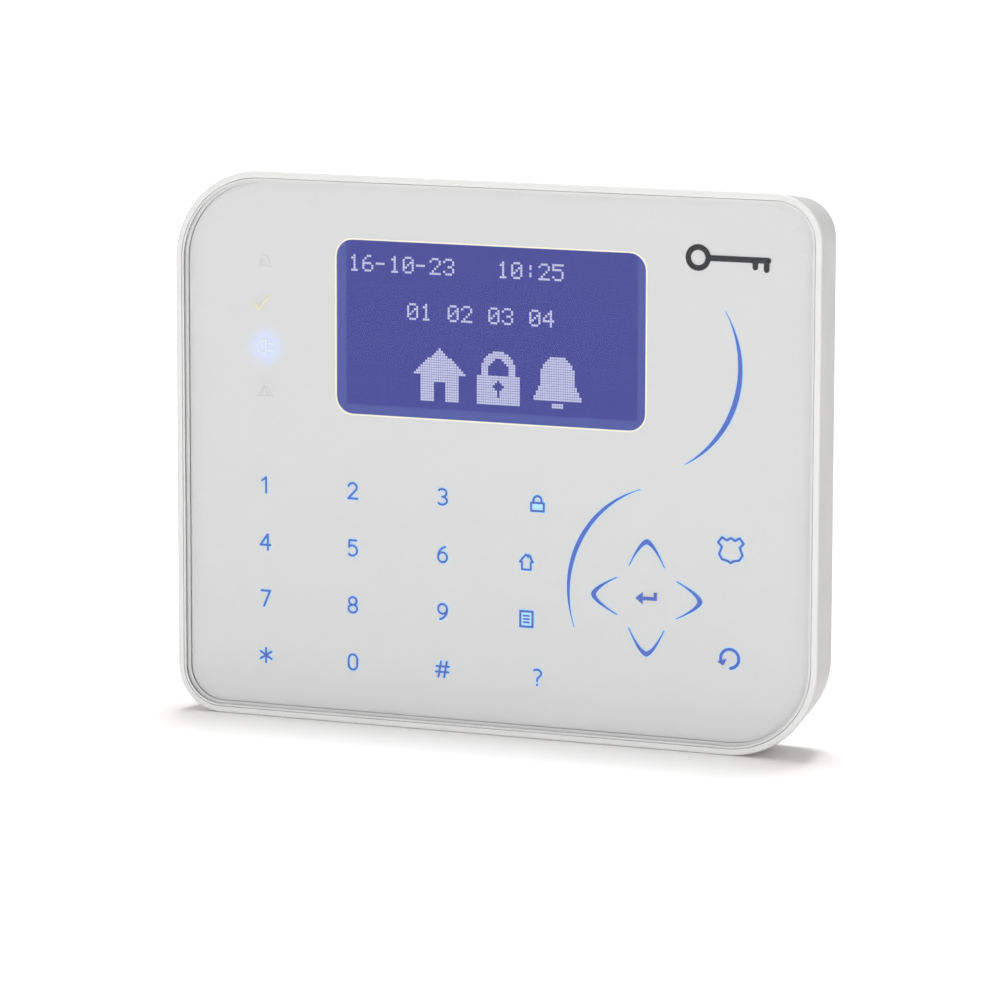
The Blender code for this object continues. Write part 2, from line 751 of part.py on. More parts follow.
def board_screws(finish):
    """Washer-head screws that hold the board on the pillars."""
    shank = REAR_Y - LEDGE_Y - PILOT_SKIN - CLEAR
    sample = cross_screw(
        "sample", SCREW_HEAD_RADIUS, SCREW_HEAD_THICK, SCREW_SHANK_RADIUS, shank
    )
    places = [(x, REAR_Y, z) for x, z in pillar_places()]
    return copies("board_screw", sample, places, finish)


def chip(name, width, height, thick, place, finish):
    """A moulded chip body with a softened edge."""
    x, z = place
    body = block(name, (width, thick, height), (x, REAR_Y, z))
    soften(body, 0.15 * MM, 1)
    return paint(body, finish)


def chips(finish):
    """The processor and the three smaller chips."""
    return [
        chip("processor", 12 * MM, 12 * MM, 1.4 * MM, (-28 * MM, -21 * MM), finish),
        chip("bus_driver", 5 * MM, 4 * MM, 1.5 * MM, (26 * MM, -14 * MM), finish),
        chip("memory_chip", 5 * MM, 5.3 * MM, 1.8 * MM, (-28 * MM, -40 * MM), finish),
        chip("touch_controller", 7 * MM, 7 * MM, 0.9 * MM, (28 * MM, -38 * MM), finish),
    ]


def filter_capacitors(finish):
    """Three can capacitors on square feet."""
    foot = 6.6 * MM
    sample = block("sample", (foot, 0.8 * MM, foot), (0, 0, 0))
    join(sample, rod("can", 3.1 * MM, 5.0 * MM, (0, 0.4 * MM, 0), 20))
    places = [(x * MM, REAR_Y, -38 * MM) for x in (-2, 7, 16)]
    return copies("filter_capacitor", sample, places, finish)


def regulator_coil(finish):
    """The supply's shielded coil."""
    coil = block("regulator_coil", (7 * MM, 3.2 * MM, 7 * MM), (-12 * MM, REAR_Y, -38 * MM))
    soften(coil, 0.8 * MM, 2)
    return paint(coil, finish)


def sounder(finish):
    """The round sounder with its sound hole."""
    x, z = -48 * MM, -38 * MM
    high = 5.0 * MM
    body = rod("sounder", 6.5 * MM, high, (x, REAR_Y, z), 32)
    cut(body, rod("sound_hole", 1.0 * MM, 2 * MM, (x, REAR_Y + high - 1 * MM, z), 16))
    soften(body, 0.3 * MM, 1, 60)
    return paint(body, finish)


def terminal_xs():
    """The middle of each terminal."""
    return [(number - (TERMINALS - 1) / 2) * TERMINAL_PITCH for number in range(TERMINALS)]


def terminal_block(finish):
    """The terminal housing: a screw well at the back and a wire entry on top of each way."""
    width, deep, height = TERMINAL_SIZE
    body = block("terminal_block", TERMINAL_SIZE, (0, REAR_Y, TERMINAL_Z))
    floor = 0.6 * MM
    entry_bottom = TERMINAL_Z - 0.5 * MM
    entry_high = TERMINAL_Z + height / 2 + 1 * MM - entry_bottom
    for x in terminal_xs():
        entry = (WIRE_ENTRY, WIRE_ENTRY, entry_high)
        place = (x, REAR_Y + floor, entry_bottom + entry_high / 2)
        cut(body, block("wire_entry", entry, place))
        well_y = REAR_Y + floor + WIRE_ENTRY - 1 * MM
        well_z = TERMINAL_Z + height / 4
        cut(body, rod("screw_well", WELL_RADIUS, REAR_Y + deep - well_y + 1 * MM, (x, well_y, well_z), 20))
    return paint(body, finish)


def terminal_cages(finish):
    """The metal cages in the wire entries."""
    outer = WIRE_ENTRY - 2 * CLEAR
    inner = outer - 1.0 * MM
    thick = WIRE_ENTRY - 1.4 * MM
    high = TERMINAL_SIZE[2] / 2 - 0.6 * MM
    sample = block("sample", (outer, thick, high), (0, 0, 0))
    cut(sample, block("cage_hole", (inner, thick - 0.8 * MM, high * 2), (0, 0.4 * MM, 0)))
    y = REAR_Y + 0.6 * MM + CLEAR
    z = TERMINAL_Z - 0.5 * MM + CLEAR + high / 2
    return copies("terminal_cage", sample, [(x, y, z) for x in terminal_xs()], finish)


def terminal_screws(finish):
    """The slotted clamp screws in their wells."""
    y = REAR_Y + 0.6 * MM + CLEAR + WIRE_ENTRY - 1.4 * MM + CLEAR
    high = REAR_Y + TERMINAL_SIZE[1] - 0.8 * MM - y
    sample = rod("sample", WELL_RADIUS - CLEAR - 0.1 * MM, high, (0, 0, 0), 20)
    slot = (4 * MM, 1.2 * MM, 0.5 * MM)
    cut(sample, block("slot", slot, (0, high - 0.6 * MM, 0)))
    z = TERMINAL_Z + TERMINAL_SIZE[2] / 4
    return copies("terminal_screw", sample, [(x, y, z) for x in terminal_xs()], finish)


def service_header(finish):
    """The service header: a moulding with four square pins pressed through it."""
    size = (HEADER_PINS * HEADER_PITCH, 2.5 * MM, 2.5 * MM)
    header = block("service_header", size, (HEADER_X, REAR_Y, HEADER_Z))
    for number in range(HEADER_PINS):
        x = HEADER_X + (number - (HEADER_PINS - 1) / 2) * HEADER_PITCH
        join(header, block("pin", (PIN, 5.0 * MM, PIN), (x, REAR_Y + 1 * MM, HEADER_Z)))
    return paint(header, finish)


# --- Tamper plunger -----------------------------------------------------------------------------------


def tamper_switch(finish):
    """The switch body with the bore that guides the plunger."""
    size = (SWITCH_SIZE, SWITCH_THICK, SWITCH_SIZE)
    body = block("tamper_switch", size, (TAMPER_X, REAR_Y, TAMPER_Z))
    bore_y = REAR_Y + SWITCH_FLOOR
    bore = rod("bore", ROD_RADIUS + ROD_CLEAR, SWITCH_THICK, (TAMPER_X, bore_y, TAMPER_Z), 24)
    cut(body, bore)
    return paint(body, finish)


def tamper_plunger(finish):
    """The rod that the wall pushes in, with the collar that the spring bears on."""
    front_y = SWITCH_BACK - CLEAR
    place = (TAMPER_X, front_y, TAMPER_Z)
    plunger = rod("tamper_plunger", ROD_RADIUS, TAMPER_OUT - front_y, place, 24)
    join(plunger, rod("collar", COLLAR_RADIUS, COLLAR_THICK, (TAMPER_X, COLLAR_Y, TAMPER_Z), 24))
    soften(plunger, 0.25 * MM, 2, 60)
    return paint(plunger, finish)


def tamper_spring(finish):
    """The coil spring between the switch and the collar."""
    low = SWITCH_BACK + CLEAR + SPRING_WIRE
    high = COLLAR_Y - CLEAR - SPRING_WIRE
    steps = 14 * SPRING_TURNS
    curve = bpy.data.curves.new("tamper_spring", "CURVE")
    curve.dimensions = "3D"
    curve.bevel_depth = SPRING_WIRE
    curve.bevel_resolution = 1
    curve.use_fill_caps = True
    spline = curve.splines.new("POLY")
    spline.points.add(steps)
    for number, point in enumerate(spline.points):
        share = number / steps
        angle = 2 * math.pi * SPRING_TURNS * share
        x = SPRING_RADIUS * math.cos(angle)
        z = SPRING_RADIUS * math.sin(angle)
        point.co = (x, (high - low) * share, z, 1.0)
    spring = welded("tamper_spring", curve, (TAMPER_X, low, TAMPER_Z))
    return paint(spring, finish)


# --- Wall base ----------------------------------------------------------------------------------------


def wall_base(finish):
    """The shallow tray that is screwed to the wall."""
    high = BASE_THICK + BASE_RIM
    base = tray("wall_base", BASE_INSET, -high, 0.0, BASE_RIM_WALL, BASE_THICK)
    over = 1 * MM
    base_ribs(base)
    entry_collar(base)
    wall_screw_holes(base)
    pivot_slots(base)
    snap_noses(base)
    bore = ROD_RADIUS + 2 * ROD_CLEAR
    cut(base, rod("tamper_hole", bore, high, (TAMPER_X, BASE_FACE - over, TAMPER_Z), 24))
    return paint(base, finish)


def base_ribs(base):
    """Low ribs that stiffen the tray: one down each side and one along the bottom."""
    y = BASE_FACE - RIB_HIGH
    deep = RIB_HIGH + BASE_THICK / 2
    tall = 2 * (BASE_TOP - BASE_RIM_WALL / 2)
    wide = WIDTH - 2 * BASE_INSET - BASE_RIM_WALL
    straight = tall - 2 * LARGE_CORNER
    for side in (-1, 1):
        join(base, block("side_rib", (RIB_THICK, deep, straight), (side * RIB_X, y, 0)))
    join(base, block("bottom_rib", (wide - 2 * LARGE_CORNER, deep, RIB_THICK), (0, y, RIB_Z)))


def entry_collar(base):
    """The cable entry, its collar inside and the channel for a surface cable at the back."""
    centre = (0.0, ENTRY_Z)
    outer = window(ENTRY[0] + 2 * ENTRY_COLLAR, ENTRY[1] + 2 * ENTRY_COLLAR, ENTRY_CORNER, centre)
    join(base, plate("entry_collar", [outer], BASE_FACE - RIB_HIGH, RIB_HIGH + BASE_THICK / 2))
    hole = window(*ENTRY, ENTRY_CORNER, centre)
    over = 1 * MM
    cut(base, plate("entry_hole", [hole], BASE_FACE - RIB_HIGH - over, BASE_THICK + RIB_HIGH + 2 * over))
    top = HEIGHT / 2
    height = top - ENTRY_Z
    channel = (CHANNEL_WIDTH, CHANNEL_DEEP + over, height)
    cut(base, block("cable_channel", channel, (0, -CHANNEL_DEEP, ENTRY_Z + height / 2)))


def wall_screw_holes(base):
    """Two keyholes above and two slots below, for the wall screws."""
    y = BASE_FACE - RIB_HIGH - 1 * MM
    deep = BASE_THICK + RIB_HIGH + 2 * MM
    for x, z in wall_screw_places():
        if z > SCREW_ROW_Z:
            cut(base, rod("keyhole", KEYHOLE_RADIUS, deep, (x, y, z - KEYHOLE_DROP), 24))
            neck = (2 * WALL_SCREW_RADIUS, deep, KEYHOLE_DROP)
            cut(base, block("keyhole_neck", neck, (x, y, z - KEYHOLE_DROP / 2)))
            cut(base, rod("keyhole_end", WALL_SCREW_RADIUS, deep, (x, y, z), 16))
        else:
            size = (SLOT_LENGTH, 2 * WALL_SCREW_RADIUS)
            slot = window(*size, WALL_SCREW_RADIUS * 0.98, (x, z))
            cut(base, plate("screw_slot", [slot], y, deep))


def pivot_slots(base):
    """Slots in the top rim that take the housing's lugs."""
    lug_front = RIM_Y - 0.2 * MM - LUG_THICK
    slot_front = lug_front - LUG_SWEEP
    slot_back = PIVOT_Y - 0.2 * MM
    deep = slot_back - slot_front
    height = BASE_RIM_WALL + 2 * MM
    for side in (-1, 1):
        size = (LUG_WIDTH + 2 * SWING_CLEAR, deep, height)
        cut(base, block("pivot_slot", size, (side * LUG_X, slot_front, BASE_TOP)))


def snap_noses(base):
    """Low noses on the bottom rim that keep the front unit shut."""
    high = 1.5 * MM
    for side in (-1, 1):
        size = (NOSE_WIDTH, 1.2 * MM, high)
        z = -(BASE_TOP + NOSE_OUT) + high / 2
        join(base, block("snap_nose", size, (side * LUG_X, BASE_FACE - 2.2 * MM, z)))


# --- Assembly -----------------------------------------------------------------------------------------


def finishes():
    """The materials, by name."""
    return {
        "white_abs": material("white_abs", (0.80, 0.80, 0.79), 0.42),
        "clear_acrylic": material("clear_acrylic", (0.92, 0.93, 0.94), 0.08, alpha=0.35),
        "white_print": material("white_print", (0.70, 0.70, 0.70), 0.5),
        "foam_tape": material("foam_tape", (0.02, 0.02, 0.02), 0.9),
        "light_acrylic": material("light_acrylic", (0.85, 0.88, 0.90), 0.15),
        "black_abs": material("black_abs", (0.02, 0.02, 0.02), 0.5),
        "led": material("led", (0.90, 0.88, 0.70), 0.3),
        "lcd_blue": material("lcd_blue", (0.09, 0.09, 0.34), 0.2),
        "backlight_white": material("backlight_white", (0.85, 0.85, 0.85), 0.6),
        "polyimide": material("polyimide", (0.45, 0.18, 0.03), 0.4),
        "steel": material("steel", (0.60, 0.60, 0.60), 0.35, 1.0),
        "solder_mask": material("solder_mask", (0.01, 0.12, 0.04), 0.4),
        "chip_epoxy": material("chip_epoxy", (0.03, 0.03, 0.03), 0.6),
        "can_aluminium": material("can_aluminium", (0.70, 0.70, 0.72), 0.3, 1.0),
        "terminal_green": material("terminal_green", (0.02, 0.25, 0.08), 0.45),
        "brass": material("brass", (0.75, 0.55, 0.25), 0.35, 1.0),
        "silicone": material("silicone", (0.10, 0.10, 0.10), 0.7),
    }


def front_unit(kit):
    """Every piece that swings with the front unit."""
    return [
        front_housing(kit["white_abs"]),
        touch_lens(kit["clear_acrylic"]),
        legend_film(kit["white_print"]),
        lens_tape(kit["foam_tape"]),
        light_guide(kit["light_acrylic"]),
        status_baffle(kit["black_abs"]),
        *lights("status_led", status_places(), kit["led"]),
        *lights("key_led", key_light_places(), kit["led"]),
        lcd_glass(kit["lcd_blue"]),
        lcd_driver_chip(kit["chip_epoxy"]),
        lcd_backlight(kit["backlight_white"]),
        lcd_flex(kit["polyimide"]),
        lcd_connector(kit["black_abs"]),
        lcd_bracket(kit["steel"]),
        *bracket_screws(kit["steel"]),
        main_board(kit["solder_mask"]),
        *board_screws(kit["steel"]),
        *chips(kit["chip_epoxy"]),
        *filter_capacitors(kit["can_aluminium"]),
        regulator_coil(kit["chip_epoxy"]),
        sounder(kit["black_abs"]),
        terminal_block(kit["terminal_green"]),
        *terminal_cages(kit["brass"]),
        *terminal_screws(kit["steel"]),
        service_header(kit["black_abs"]),
        tamper_switch(kit["black_abs"]),
        tamper_spring(kit["steel"]),
    ]


def build():
    """Makes the keypad and hangs its pieces on their joints."""
    start()
    kit = finishes()
    wall_base(kit["white_abs"])
    pivot = empty("cover_swing_axis", (0.0, PIVOT_Y, PIVOT_Z))
    for piece in front_unit(kit):
        hang(piece, pivot)
    hang(tamper_plunger(kit["silicone"]), pivot)


build()
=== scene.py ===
# %% [markdown]
# # A touch keypad, finished over its working model
# The keypad is a slim white front unit that hangs on a wall base. Its working model already has every
# shell, chip and screw at its real size, so this lesson adds only what makes it look real: smooth
# shells, printed keys, a lit display and a finish for every surface. The model is loaded first, and its
# box is kept, because nothing that is added may reach outside it.

# %% Load the working model
import math

import bmesh
import bpy
from mathutils import Matrix, Vector


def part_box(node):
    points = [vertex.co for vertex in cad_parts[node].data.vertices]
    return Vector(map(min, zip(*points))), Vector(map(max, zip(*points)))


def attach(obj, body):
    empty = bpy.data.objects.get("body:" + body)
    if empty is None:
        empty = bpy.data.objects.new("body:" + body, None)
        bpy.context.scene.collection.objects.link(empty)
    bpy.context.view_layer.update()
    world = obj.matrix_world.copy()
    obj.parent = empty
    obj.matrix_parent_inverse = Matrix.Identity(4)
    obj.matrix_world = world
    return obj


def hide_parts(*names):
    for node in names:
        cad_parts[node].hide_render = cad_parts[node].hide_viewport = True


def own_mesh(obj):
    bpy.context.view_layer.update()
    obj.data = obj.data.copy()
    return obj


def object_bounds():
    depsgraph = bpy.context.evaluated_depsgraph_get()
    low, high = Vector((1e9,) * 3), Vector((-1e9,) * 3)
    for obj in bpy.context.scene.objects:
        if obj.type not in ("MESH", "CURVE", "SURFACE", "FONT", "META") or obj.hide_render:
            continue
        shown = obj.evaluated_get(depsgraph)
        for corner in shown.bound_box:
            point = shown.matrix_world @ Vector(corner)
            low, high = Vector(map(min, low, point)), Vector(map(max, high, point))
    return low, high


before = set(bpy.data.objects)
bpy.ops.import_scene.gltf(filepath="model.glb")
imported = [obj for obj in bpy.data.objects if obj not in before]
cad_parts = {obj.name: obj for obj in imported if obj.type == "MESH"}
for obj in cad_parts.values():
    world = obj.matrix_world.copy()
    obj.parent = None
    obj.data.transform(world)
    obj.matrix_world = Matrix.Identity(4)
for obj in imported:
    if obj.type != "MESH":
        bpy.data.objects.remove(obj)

cad_low, cad_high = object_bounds()
MM = 0.001

# %% [markdown]
# ## The camera
# The keypad is looked at from the right and a little from above, through a long lens, which keeps its
# edges almost parallel. The turn is built from three plain rotations, so that each can be read by itself.

# %% Camera
CAMERA_SPOT = (0.4366, -1.0620, 0.1721)
LENS_LENGTH = 194.8
SENSOR_WIDTH = 36.0
AZIMUTH = math.radians(22.55)
TILT = math.radians(80.95)
ROLL = math.radians(0.13)
camera_data = bpy.data.cameras.new("camera")
camera_data.lens = LENS_LENGTH
camera_data.sensor_width = SENSOR_WIDTH
camera = bpy.data.objects.new("camera", camera_data)
camera.matrix_world = (
    Matrix.Translation(CAMERA_SPOT)
    @ Matrix.Rotation(AZIMUTH, 4, "Z")
    @ Matrix.Rotation(TILT, 4, "X")
    @ Matrix.Rotation(ROLL, 4, "Z")
)
bpy.context.scene.collection.objects.link(camera)
bpy.context.scene.camera = camera
print("camera stands", round(camera.matrix_world.translation.length, 3), "m away")

# %% [markdown]
# ## Small helpers
# Colours are picked as hex values on a screen, while shaders count in linear light, so one function
# turns the first into the second. Another adds a shader node, gives it its settings and joins its
# inputs, which keeps every material below to a few readable lines.


# %% Helpers for colour and nodes
def linear(code):
    """An sRGB hex colour as linear red, green, blue and alpha."""
    parts = [int(code[i:i + 2], 16) / 255 for i in (0, 2, 4)]
    bright = [c / 12.92 if c <= 0.04045 else ((c + 0.055) / 1.055) ** 2.4 for c in parts]
    return (*bright, 1.0)


def add_node(tree, kind, props=None, inputs=None):
    """Adds a node. Props are its settings, and inputs hold a value or another node's socket."""
    made = tree.nodes.new(kind)
    for key, value in (props or {}).items():
        setattr(made, key, value)
    for key, value in (inputs or {}).items():
        if isinstance(value, bpy.types.NodeSocket):
            tree.links.new(value, made.inputs[key])
        else:
            made.inputs[key].default_value = value
    return made


def start_material(name):
    """A new material with a Principled shader: its node tree, the shader and Object coordinates."""
    made = bpy.data.materials.new(name)
    made.use_nodes = True
    tree = made.node_tree
    place = add_node(tree, "ShaderNodeTexCoord").outputs["Object"]
    return made, tree, tree.nodes["Principled BSDF"], place


print("white is", [round(c, 2) for c in linear("FFFFFF")])

# %% [markdown]
# ## The floor
# A product like this is shown on a sweep of matt white paper, which could be a roll hung behind the
# table. Here it is one large square just under the keypad. Away from the keypad the paper glows a
# little, as if it were lit through, so that it stays white to the horizon without brighter lamps.

# %% Floor
FLOOR_DROP = 0.02 * MM
FLOOR_HALF = 4.0
GLOW_STARTS = 0.2
GLOW_FULL = 1.4
bm = bmesh.new()
bmesh.ops.create_grid(bm, x_segments=1, y_segments=1, size=FLOOR_HALF)
bmesh.ops.translate(bm, verts=bm.verts, vec=(0.0, 0.0, cad_low[2] - FLOOR_DROP))
floor_mesh = bpy.data.meshes.new("floor")
bm.to_mesh(floor_mesh)
bm.free()
floor = bpy.data.objects.new("floor", floor_mesh)
bpy.context.scene.collection.objects.link(floor)
# Matt paper: no shine, and a glow that grows with the distance from the keypad.
paper, tree, shader, place = start_material("matt_paper_sweep")
shader.inputs["Base Color"].default_value = linear("FBFAF9")
shader.inputs["Roughness"].default_value = 0.9
shader.inputs["Specular IOR Level"].default_value = 0.1
shader.inputs["Emission Color"].default_value = (1.0, 1.0, 1.0, 1.0)
reach = add_node(tree, "ShaderNodeVectorMath", {"operation": "LENGTH"}, {0: place})
far_glow = add_node(
    tree,
    "ShaderNodeMapRange",
    None,
    {"Value": reach.outputs["Value"], "From Min": GLOW_STARTS, "From Max": GLOW_FULL, "To Max": 0.4},
)
tree.links.new(far_glow.outputs["Result"], shader.inputs["Emission Strength"])
floor_mesh.materials.append(paper)
print("floor at", round(cad_low[2] * 1000, 2), "mm")

# %% [markdown]
# ## The light
# The world is plain white, so that every side gets light, and a little dimmer towards the right, which
# lets the side wall read as a side. One big lamp, high and slightly behind, lifts the top of the rim
# and draws the soft shadow that spreads forward from the bottom edge. A smaller one, low at the front
# right, keeps the face even and stays clear of the direction that the lens mirrors to the camera.


# %% Lights
def area_lamp(name, spot, aim, size, power):
    """A square soft lamp at spot, turned to aim."""
    data = bpy.data.lights.new(name, "AREA")
    data.size = size
    data.energy = power
    lamp = bpy.data.objects.new(name, data)
    lamp.location = spot
    lamp.rotation_euler = (Vector(aim) - Vector(spot)).to_track_quat("-Z", "Y").to_euler()
    bpy.context.scene.collection.objects.link(lamp)


area_lamp("overhead_lamp", spot=(0.0, 0.4, 3.0), aim=(0.0, 0.2, 0.0), size=1.0, power=68.0)
area_lamp("front_lamp", spot=(0.35, -2.0, 0.2), aim=(0.0, 0.0, 0.0), size=0.6, power=24.0)
world = bpy.data.worlds.new("studio")
world.use_nodes = True
tree = world.node_tree
direction = add_node(tree, "ShaderNodeTexCoord").outputs["Generated"]
axes = add_node(tree, "ShaderNodeSeparateXYZ", None, {0: direction})
fall = add_node(
    tree,
    "ShaderNodeMapRange",
    None,
    {"Value": axes.outputs["X"], "From Min": -0.2, "From Max": 0.9, "To Min": 0.54, "To Max": 0.38},
)
tree.links.new(fall.outputs["Result"], tree.nodes["Background"].inputs["Strength"])
tree.nodes["Background"].inputs["Color"].default_value = (1.0, 1.0, 1.0, 1.0)
bpy.context.scene.world = world
bpy.context.scene.view_settings.view_transform = "Standard"

# %% [markdown]
# ## A recipe for solid surfaces
# Most surfaces of the keypad differ in the same few ways: a slow drift of colour and gloss over
# several millimetres, and a fine grain that was left by the mould, the mill or the brush. One recipe
# takes those as real sizes. A stretch along one axis turns the grain into brushing or drawing lines.


# %% Recipe for solid surfaces
def solid(
    name, colour, drift_colour, gloss, grain, depth, metal=0.0, ior=1.5, stretch=(1, 1, 1), drift=9.0
):
    """A finish with drifting colour and roughness, and grain of a real size. Lengths are in mm."""
    made, tree, shader, place = start_material(name)
    slow = add_node(
        tree, "ShaderNodeTexNoise", None, {"Vector": place, "Scale": 1 / (drift * MM), "Detail": 3.0}
    )
    blend = add_node(
        tree,
        "ShaderNodeMix",
        {"data_type": "RGBA"},
        {0: slow.outputs["Fac"], 6: linear(colour), 7: linear(drift_colour)},
    )
    tree.links.new(blend.outputs[2], shader.inputs["Base Color"])
    span = {"From Min": 0.3, "From Max": 0.7, "To Min": gloss[0], "To Max": gloss[1]}
    shine = add_node(tree, "ShaderNodeMapRange", None, {"Value": slow.outputs["Fac"], **span})
    tree.links.new(shine.outputs["Result"], shader.inputs["Roughness"])
    along = add_node(tree, "ShaderNodeMapping", None, {"Vector": place, "Scale": stretch})
    fine = add_node(
        tree,
        "ShaderNodeTexNoise",
        None,
        {"Vector": along.outputs["Vector"], "Scale": 1 / (grain * MM), "Detail": 2.0},
    )
    relief = add_node(
        tree,
        "ShaderNodeBump",
        None,
        {"Height": fine.outputs["Fac"], "Distance": depth * MM, "Strength": 0.6},
    )
    tree.links.new(relief.outputs["Normal"], shader.inputs["Normal"])
    shader.inputs["Metallic"].default_value = metal
    shader.inputs["IOR"].default_value = ior
    return made


print("finishes so far:", len(bpy.data.materials))

# %% [markdown]
# ## The plastics, metals and films
# Each finish below is named for what the part is made of and how its surface came about. ABS from a
# spark-eroded mould has a fine satin grain, drawn and stamped steel has lines along the roll, and
# polyimide film is amber and smooth.

# %% Finishes
# Injection-moulded ABS, spark-eroded mould: an even, neutral white with a fine satin grain.
satin_abs = solid("moulded_white_abs", "CACAC9", "C8C8C7", (0.40, 0.48), 0.35, 0.006, ior=1.52)
# The same ABS in black for the small mouldings.
black_abs = solid("moulded_black_abs", "1B1C1E", "232427", (0.42, 0.55), 0.3, 0.008, ior=1.52)
# Closed-cell foam tape: matt white with open pores at its cut edge.
foam = solid("closed_cell_foam", "D8D8D4", "C9C9C4", (0.85, 0.95), 0.25, 0.08, ior=1.4)
# Extruded acrylic light guide: cloudy white, glossy, nearly smooth.
guide_acrylic = solid("opal_acrylic", "E9EDEE", "DDE4E6", (0.12, 0.2), 0.8, 0.002, ior=1.49)
# Polycarbonate tray of the backlight: bright matt white that scatters the light inside.
backlight_pc = solid("diffuse_white_polycarbonate", "F1F1EE", "E8E8E4", (0.5, 0.6), 0.4, 0.006, ior=1.58)
# Polyimide film over copper: amber with darker stretches where copper lies beneath.
polyimide = solid(
    "amber_polyimide_film", "B0641B", "8C4410", (0.25, 0.35), 1.2, 0.004, ior=1.7, stretch=(1, 1, 0.06)
)
# Zinc-plated sheet steel: grey metal with short rolling lines.
zinc_steel = solid(
    "zinc_plated_steel", "BDBFC2", "A6A8AB", (0.26, 0.4), 0.12, 0.004, 1.0, stretch=(0.05, 1, 1), drift=3.0
)
# Nickel-plated spring wire: brighter, with a fine grain from the drawing die.
spring_wire = solid("drawn_spring_wire", "C4C4C2", "A9A9A6", (0.2, 0.32), 0.1, 0.003, 1.0, drift=1.5)
# Moulded epoxy chip body: nearly black, dry and matt with fine filler grain.
epoxy = solid("moulded_chip_epoxy", "202124", "2A2B2E", (0.55, 0.7), 0.15, 0.008, ior=1.55)
# Drawn can aluminium: pale metal with fine turning lines.
aluminium = solid(
    "drawn_can_aluminium", "D2D4D7", "BFC2C6", (0.22, 0.34), 0.1, 0.003, 1.0, stretch=(1, 0.04, 1), drift=2.5
)
# Glass-filled polyamide of the terminals: leaf green, slightly mottled.
green_polyamide = solid(
    "moulded_green_polyamide", "1E7A46", "19693C", (0.38, 0.5), 0.4, 0.01, ior=1.53, drift=4.0
)
# Tinned brass cages: yellow metal dulled by tarnish.
brass = solid("tinned_brass", "C9A868", "B08C4A", (0.28, 0.42), 0.2, 0.004, 1.0, drift=1.5)
# Acetal rod of the tamper plunger: dark grey, waxy and smooth.
acetal = solid("turned_acetal", "2A2B2D", "333437", (0.3, 0.4), 0.2, 0.003, ior=1.48, stretch=(1, 0.1, 1))
# Tin on solder and leads: soft grey metal with a frosted skin.
tin = solid("frosted_solder_tin", "C9CBCC", "B2B4B6", (0.28, 0.45), 0.12, 0.006, 1.0, drift=1.0)
# White component print on the board: dull ink with thin spots.
board_ink = solid("white_board_ink", "E6E6E0", "D2D2CB", (0.6, 0.7), 0.2, 0.004, drift=1.0)
# Ceramic of the smallest parts: tan and matt.
ceramic = solid("fired_ceramic", "A08663", "8B7252", (0.45, 0.6), 0.15, 0.006, drift=1.0)
# LED capsule: clear epoxy over yellow phosphor.
led_epoxy = solid("led_phosphor_epoxy", "EDE3A6", "E2D58C", (0.15, 0.25), 0.3, 0.002, ior=1.53, drift=1.0)
print("solid finishes:", len(bpy.data.materials))

# %% [markdown]
# ## The board's solder mask
# A board is green because a thin lacquer covers its copper. Where copper runs beneath, the lacquer
# looks lighter and stands up a few hundredths of a millimetre. The tracks here are stripes of a real
# pitch that a coarse cell pattern switches between upright, level and none, as a router's layout does.

# %% Solder mask
TRACK_PITCH = 1.1 * MM
TRACK_FIELD = 8.0 * MM
solder_mask, tree, shader, place = start_material("green_solder_mask")
axes = add_node(tree, "ShaderNodeSeparateXYZ", None, {0: place})
cells = add_node(
    tree,
    "ShaderNodeTexVoronoi",
    {"distance": "CHEBYCHEV"},
    {"Vector": place, "Scale": 1 / TRACK_FIELD, "Randomness": 0.8},
)
pick = add_node(tree, "ShaderNodeSeparateColor", None, {"Color": cells.outputs["Color"]})
upright = add_node(tree, "ShaderNodeMath", {"operation": "GREATER_THAN"}, {0: pick.outputs["Red"], 1: 0.5})
across = add_node(
    tree,
    "ShaderNodeMix",
    {"data_type": "FLOAT"},
    {0: upright.outputs[0], 2: axes.outputs["Z"], 3: axes.outputs["X"]},
)
ripple = add_node(
    tree, "ShaderNodeMath", {"operation": "PINGPONG"}, {0: across.outputs[0], 1: TRACK_PITCH / 2}
)
track_edge = {"From Min": 0.14 * MM, "From Max": 0.18 * MM, "To Min": 1.0, "To Max": 0.0}
track = add_node(tree, "ShaderNodeMapRange", None, {"Value": ripple.outputs[0], **track_edge})
bare = add_node(tree, "ShaderNodeMath", {"operation": "LESS_THAN"}, {0: pick.outputs["Green"], 1: 0.72})
copper = add_node(
    tree, "ShaderNodeMath", {"operation": "MULTIPLY"}, {0: track.outputs["Result"], 1: bare.outputs[0]}
)
lacquer = add_node(
    tree,
    "ShaderNodeMix",
    {"data_type": "RGBA"},
    {0: copper.outputs[0], 6: linear("0E4A26"), 7: linear("2A7C43")},
)
tree.links.new(lacquer.outputs[2], shader.inputs["Base Color"])
ridge = add_node(
    tree, "ShaderNodeBump", None, {"Height": copper.outputs[0], "Distance": 0.035 * MM, "Strength": 0.8}
)
tree.links.new(ridge.outputs["Normal"], shader.inputs["Normal"])
shader.inputs["Roughness"].default_value = 0.32
shader.inputs["IOR"].default_value = 1.55
print("track pitch", round(TRACK_PITCH * 1000, 2), "mm")

# %% [markdown]
# ## The clear lens
# The front is a clear acrylic plate. Acrylic bends light, but over print that lies right behind it all
# that shows is a sheen, stronger at a slant. So the lens lets light straight through and mixes in a
# little gloss, by how squarely it is seen. Only the outer face shines, so that the sheen isn't counted
# twice. That needs no caustics and keeps the print's colours true.

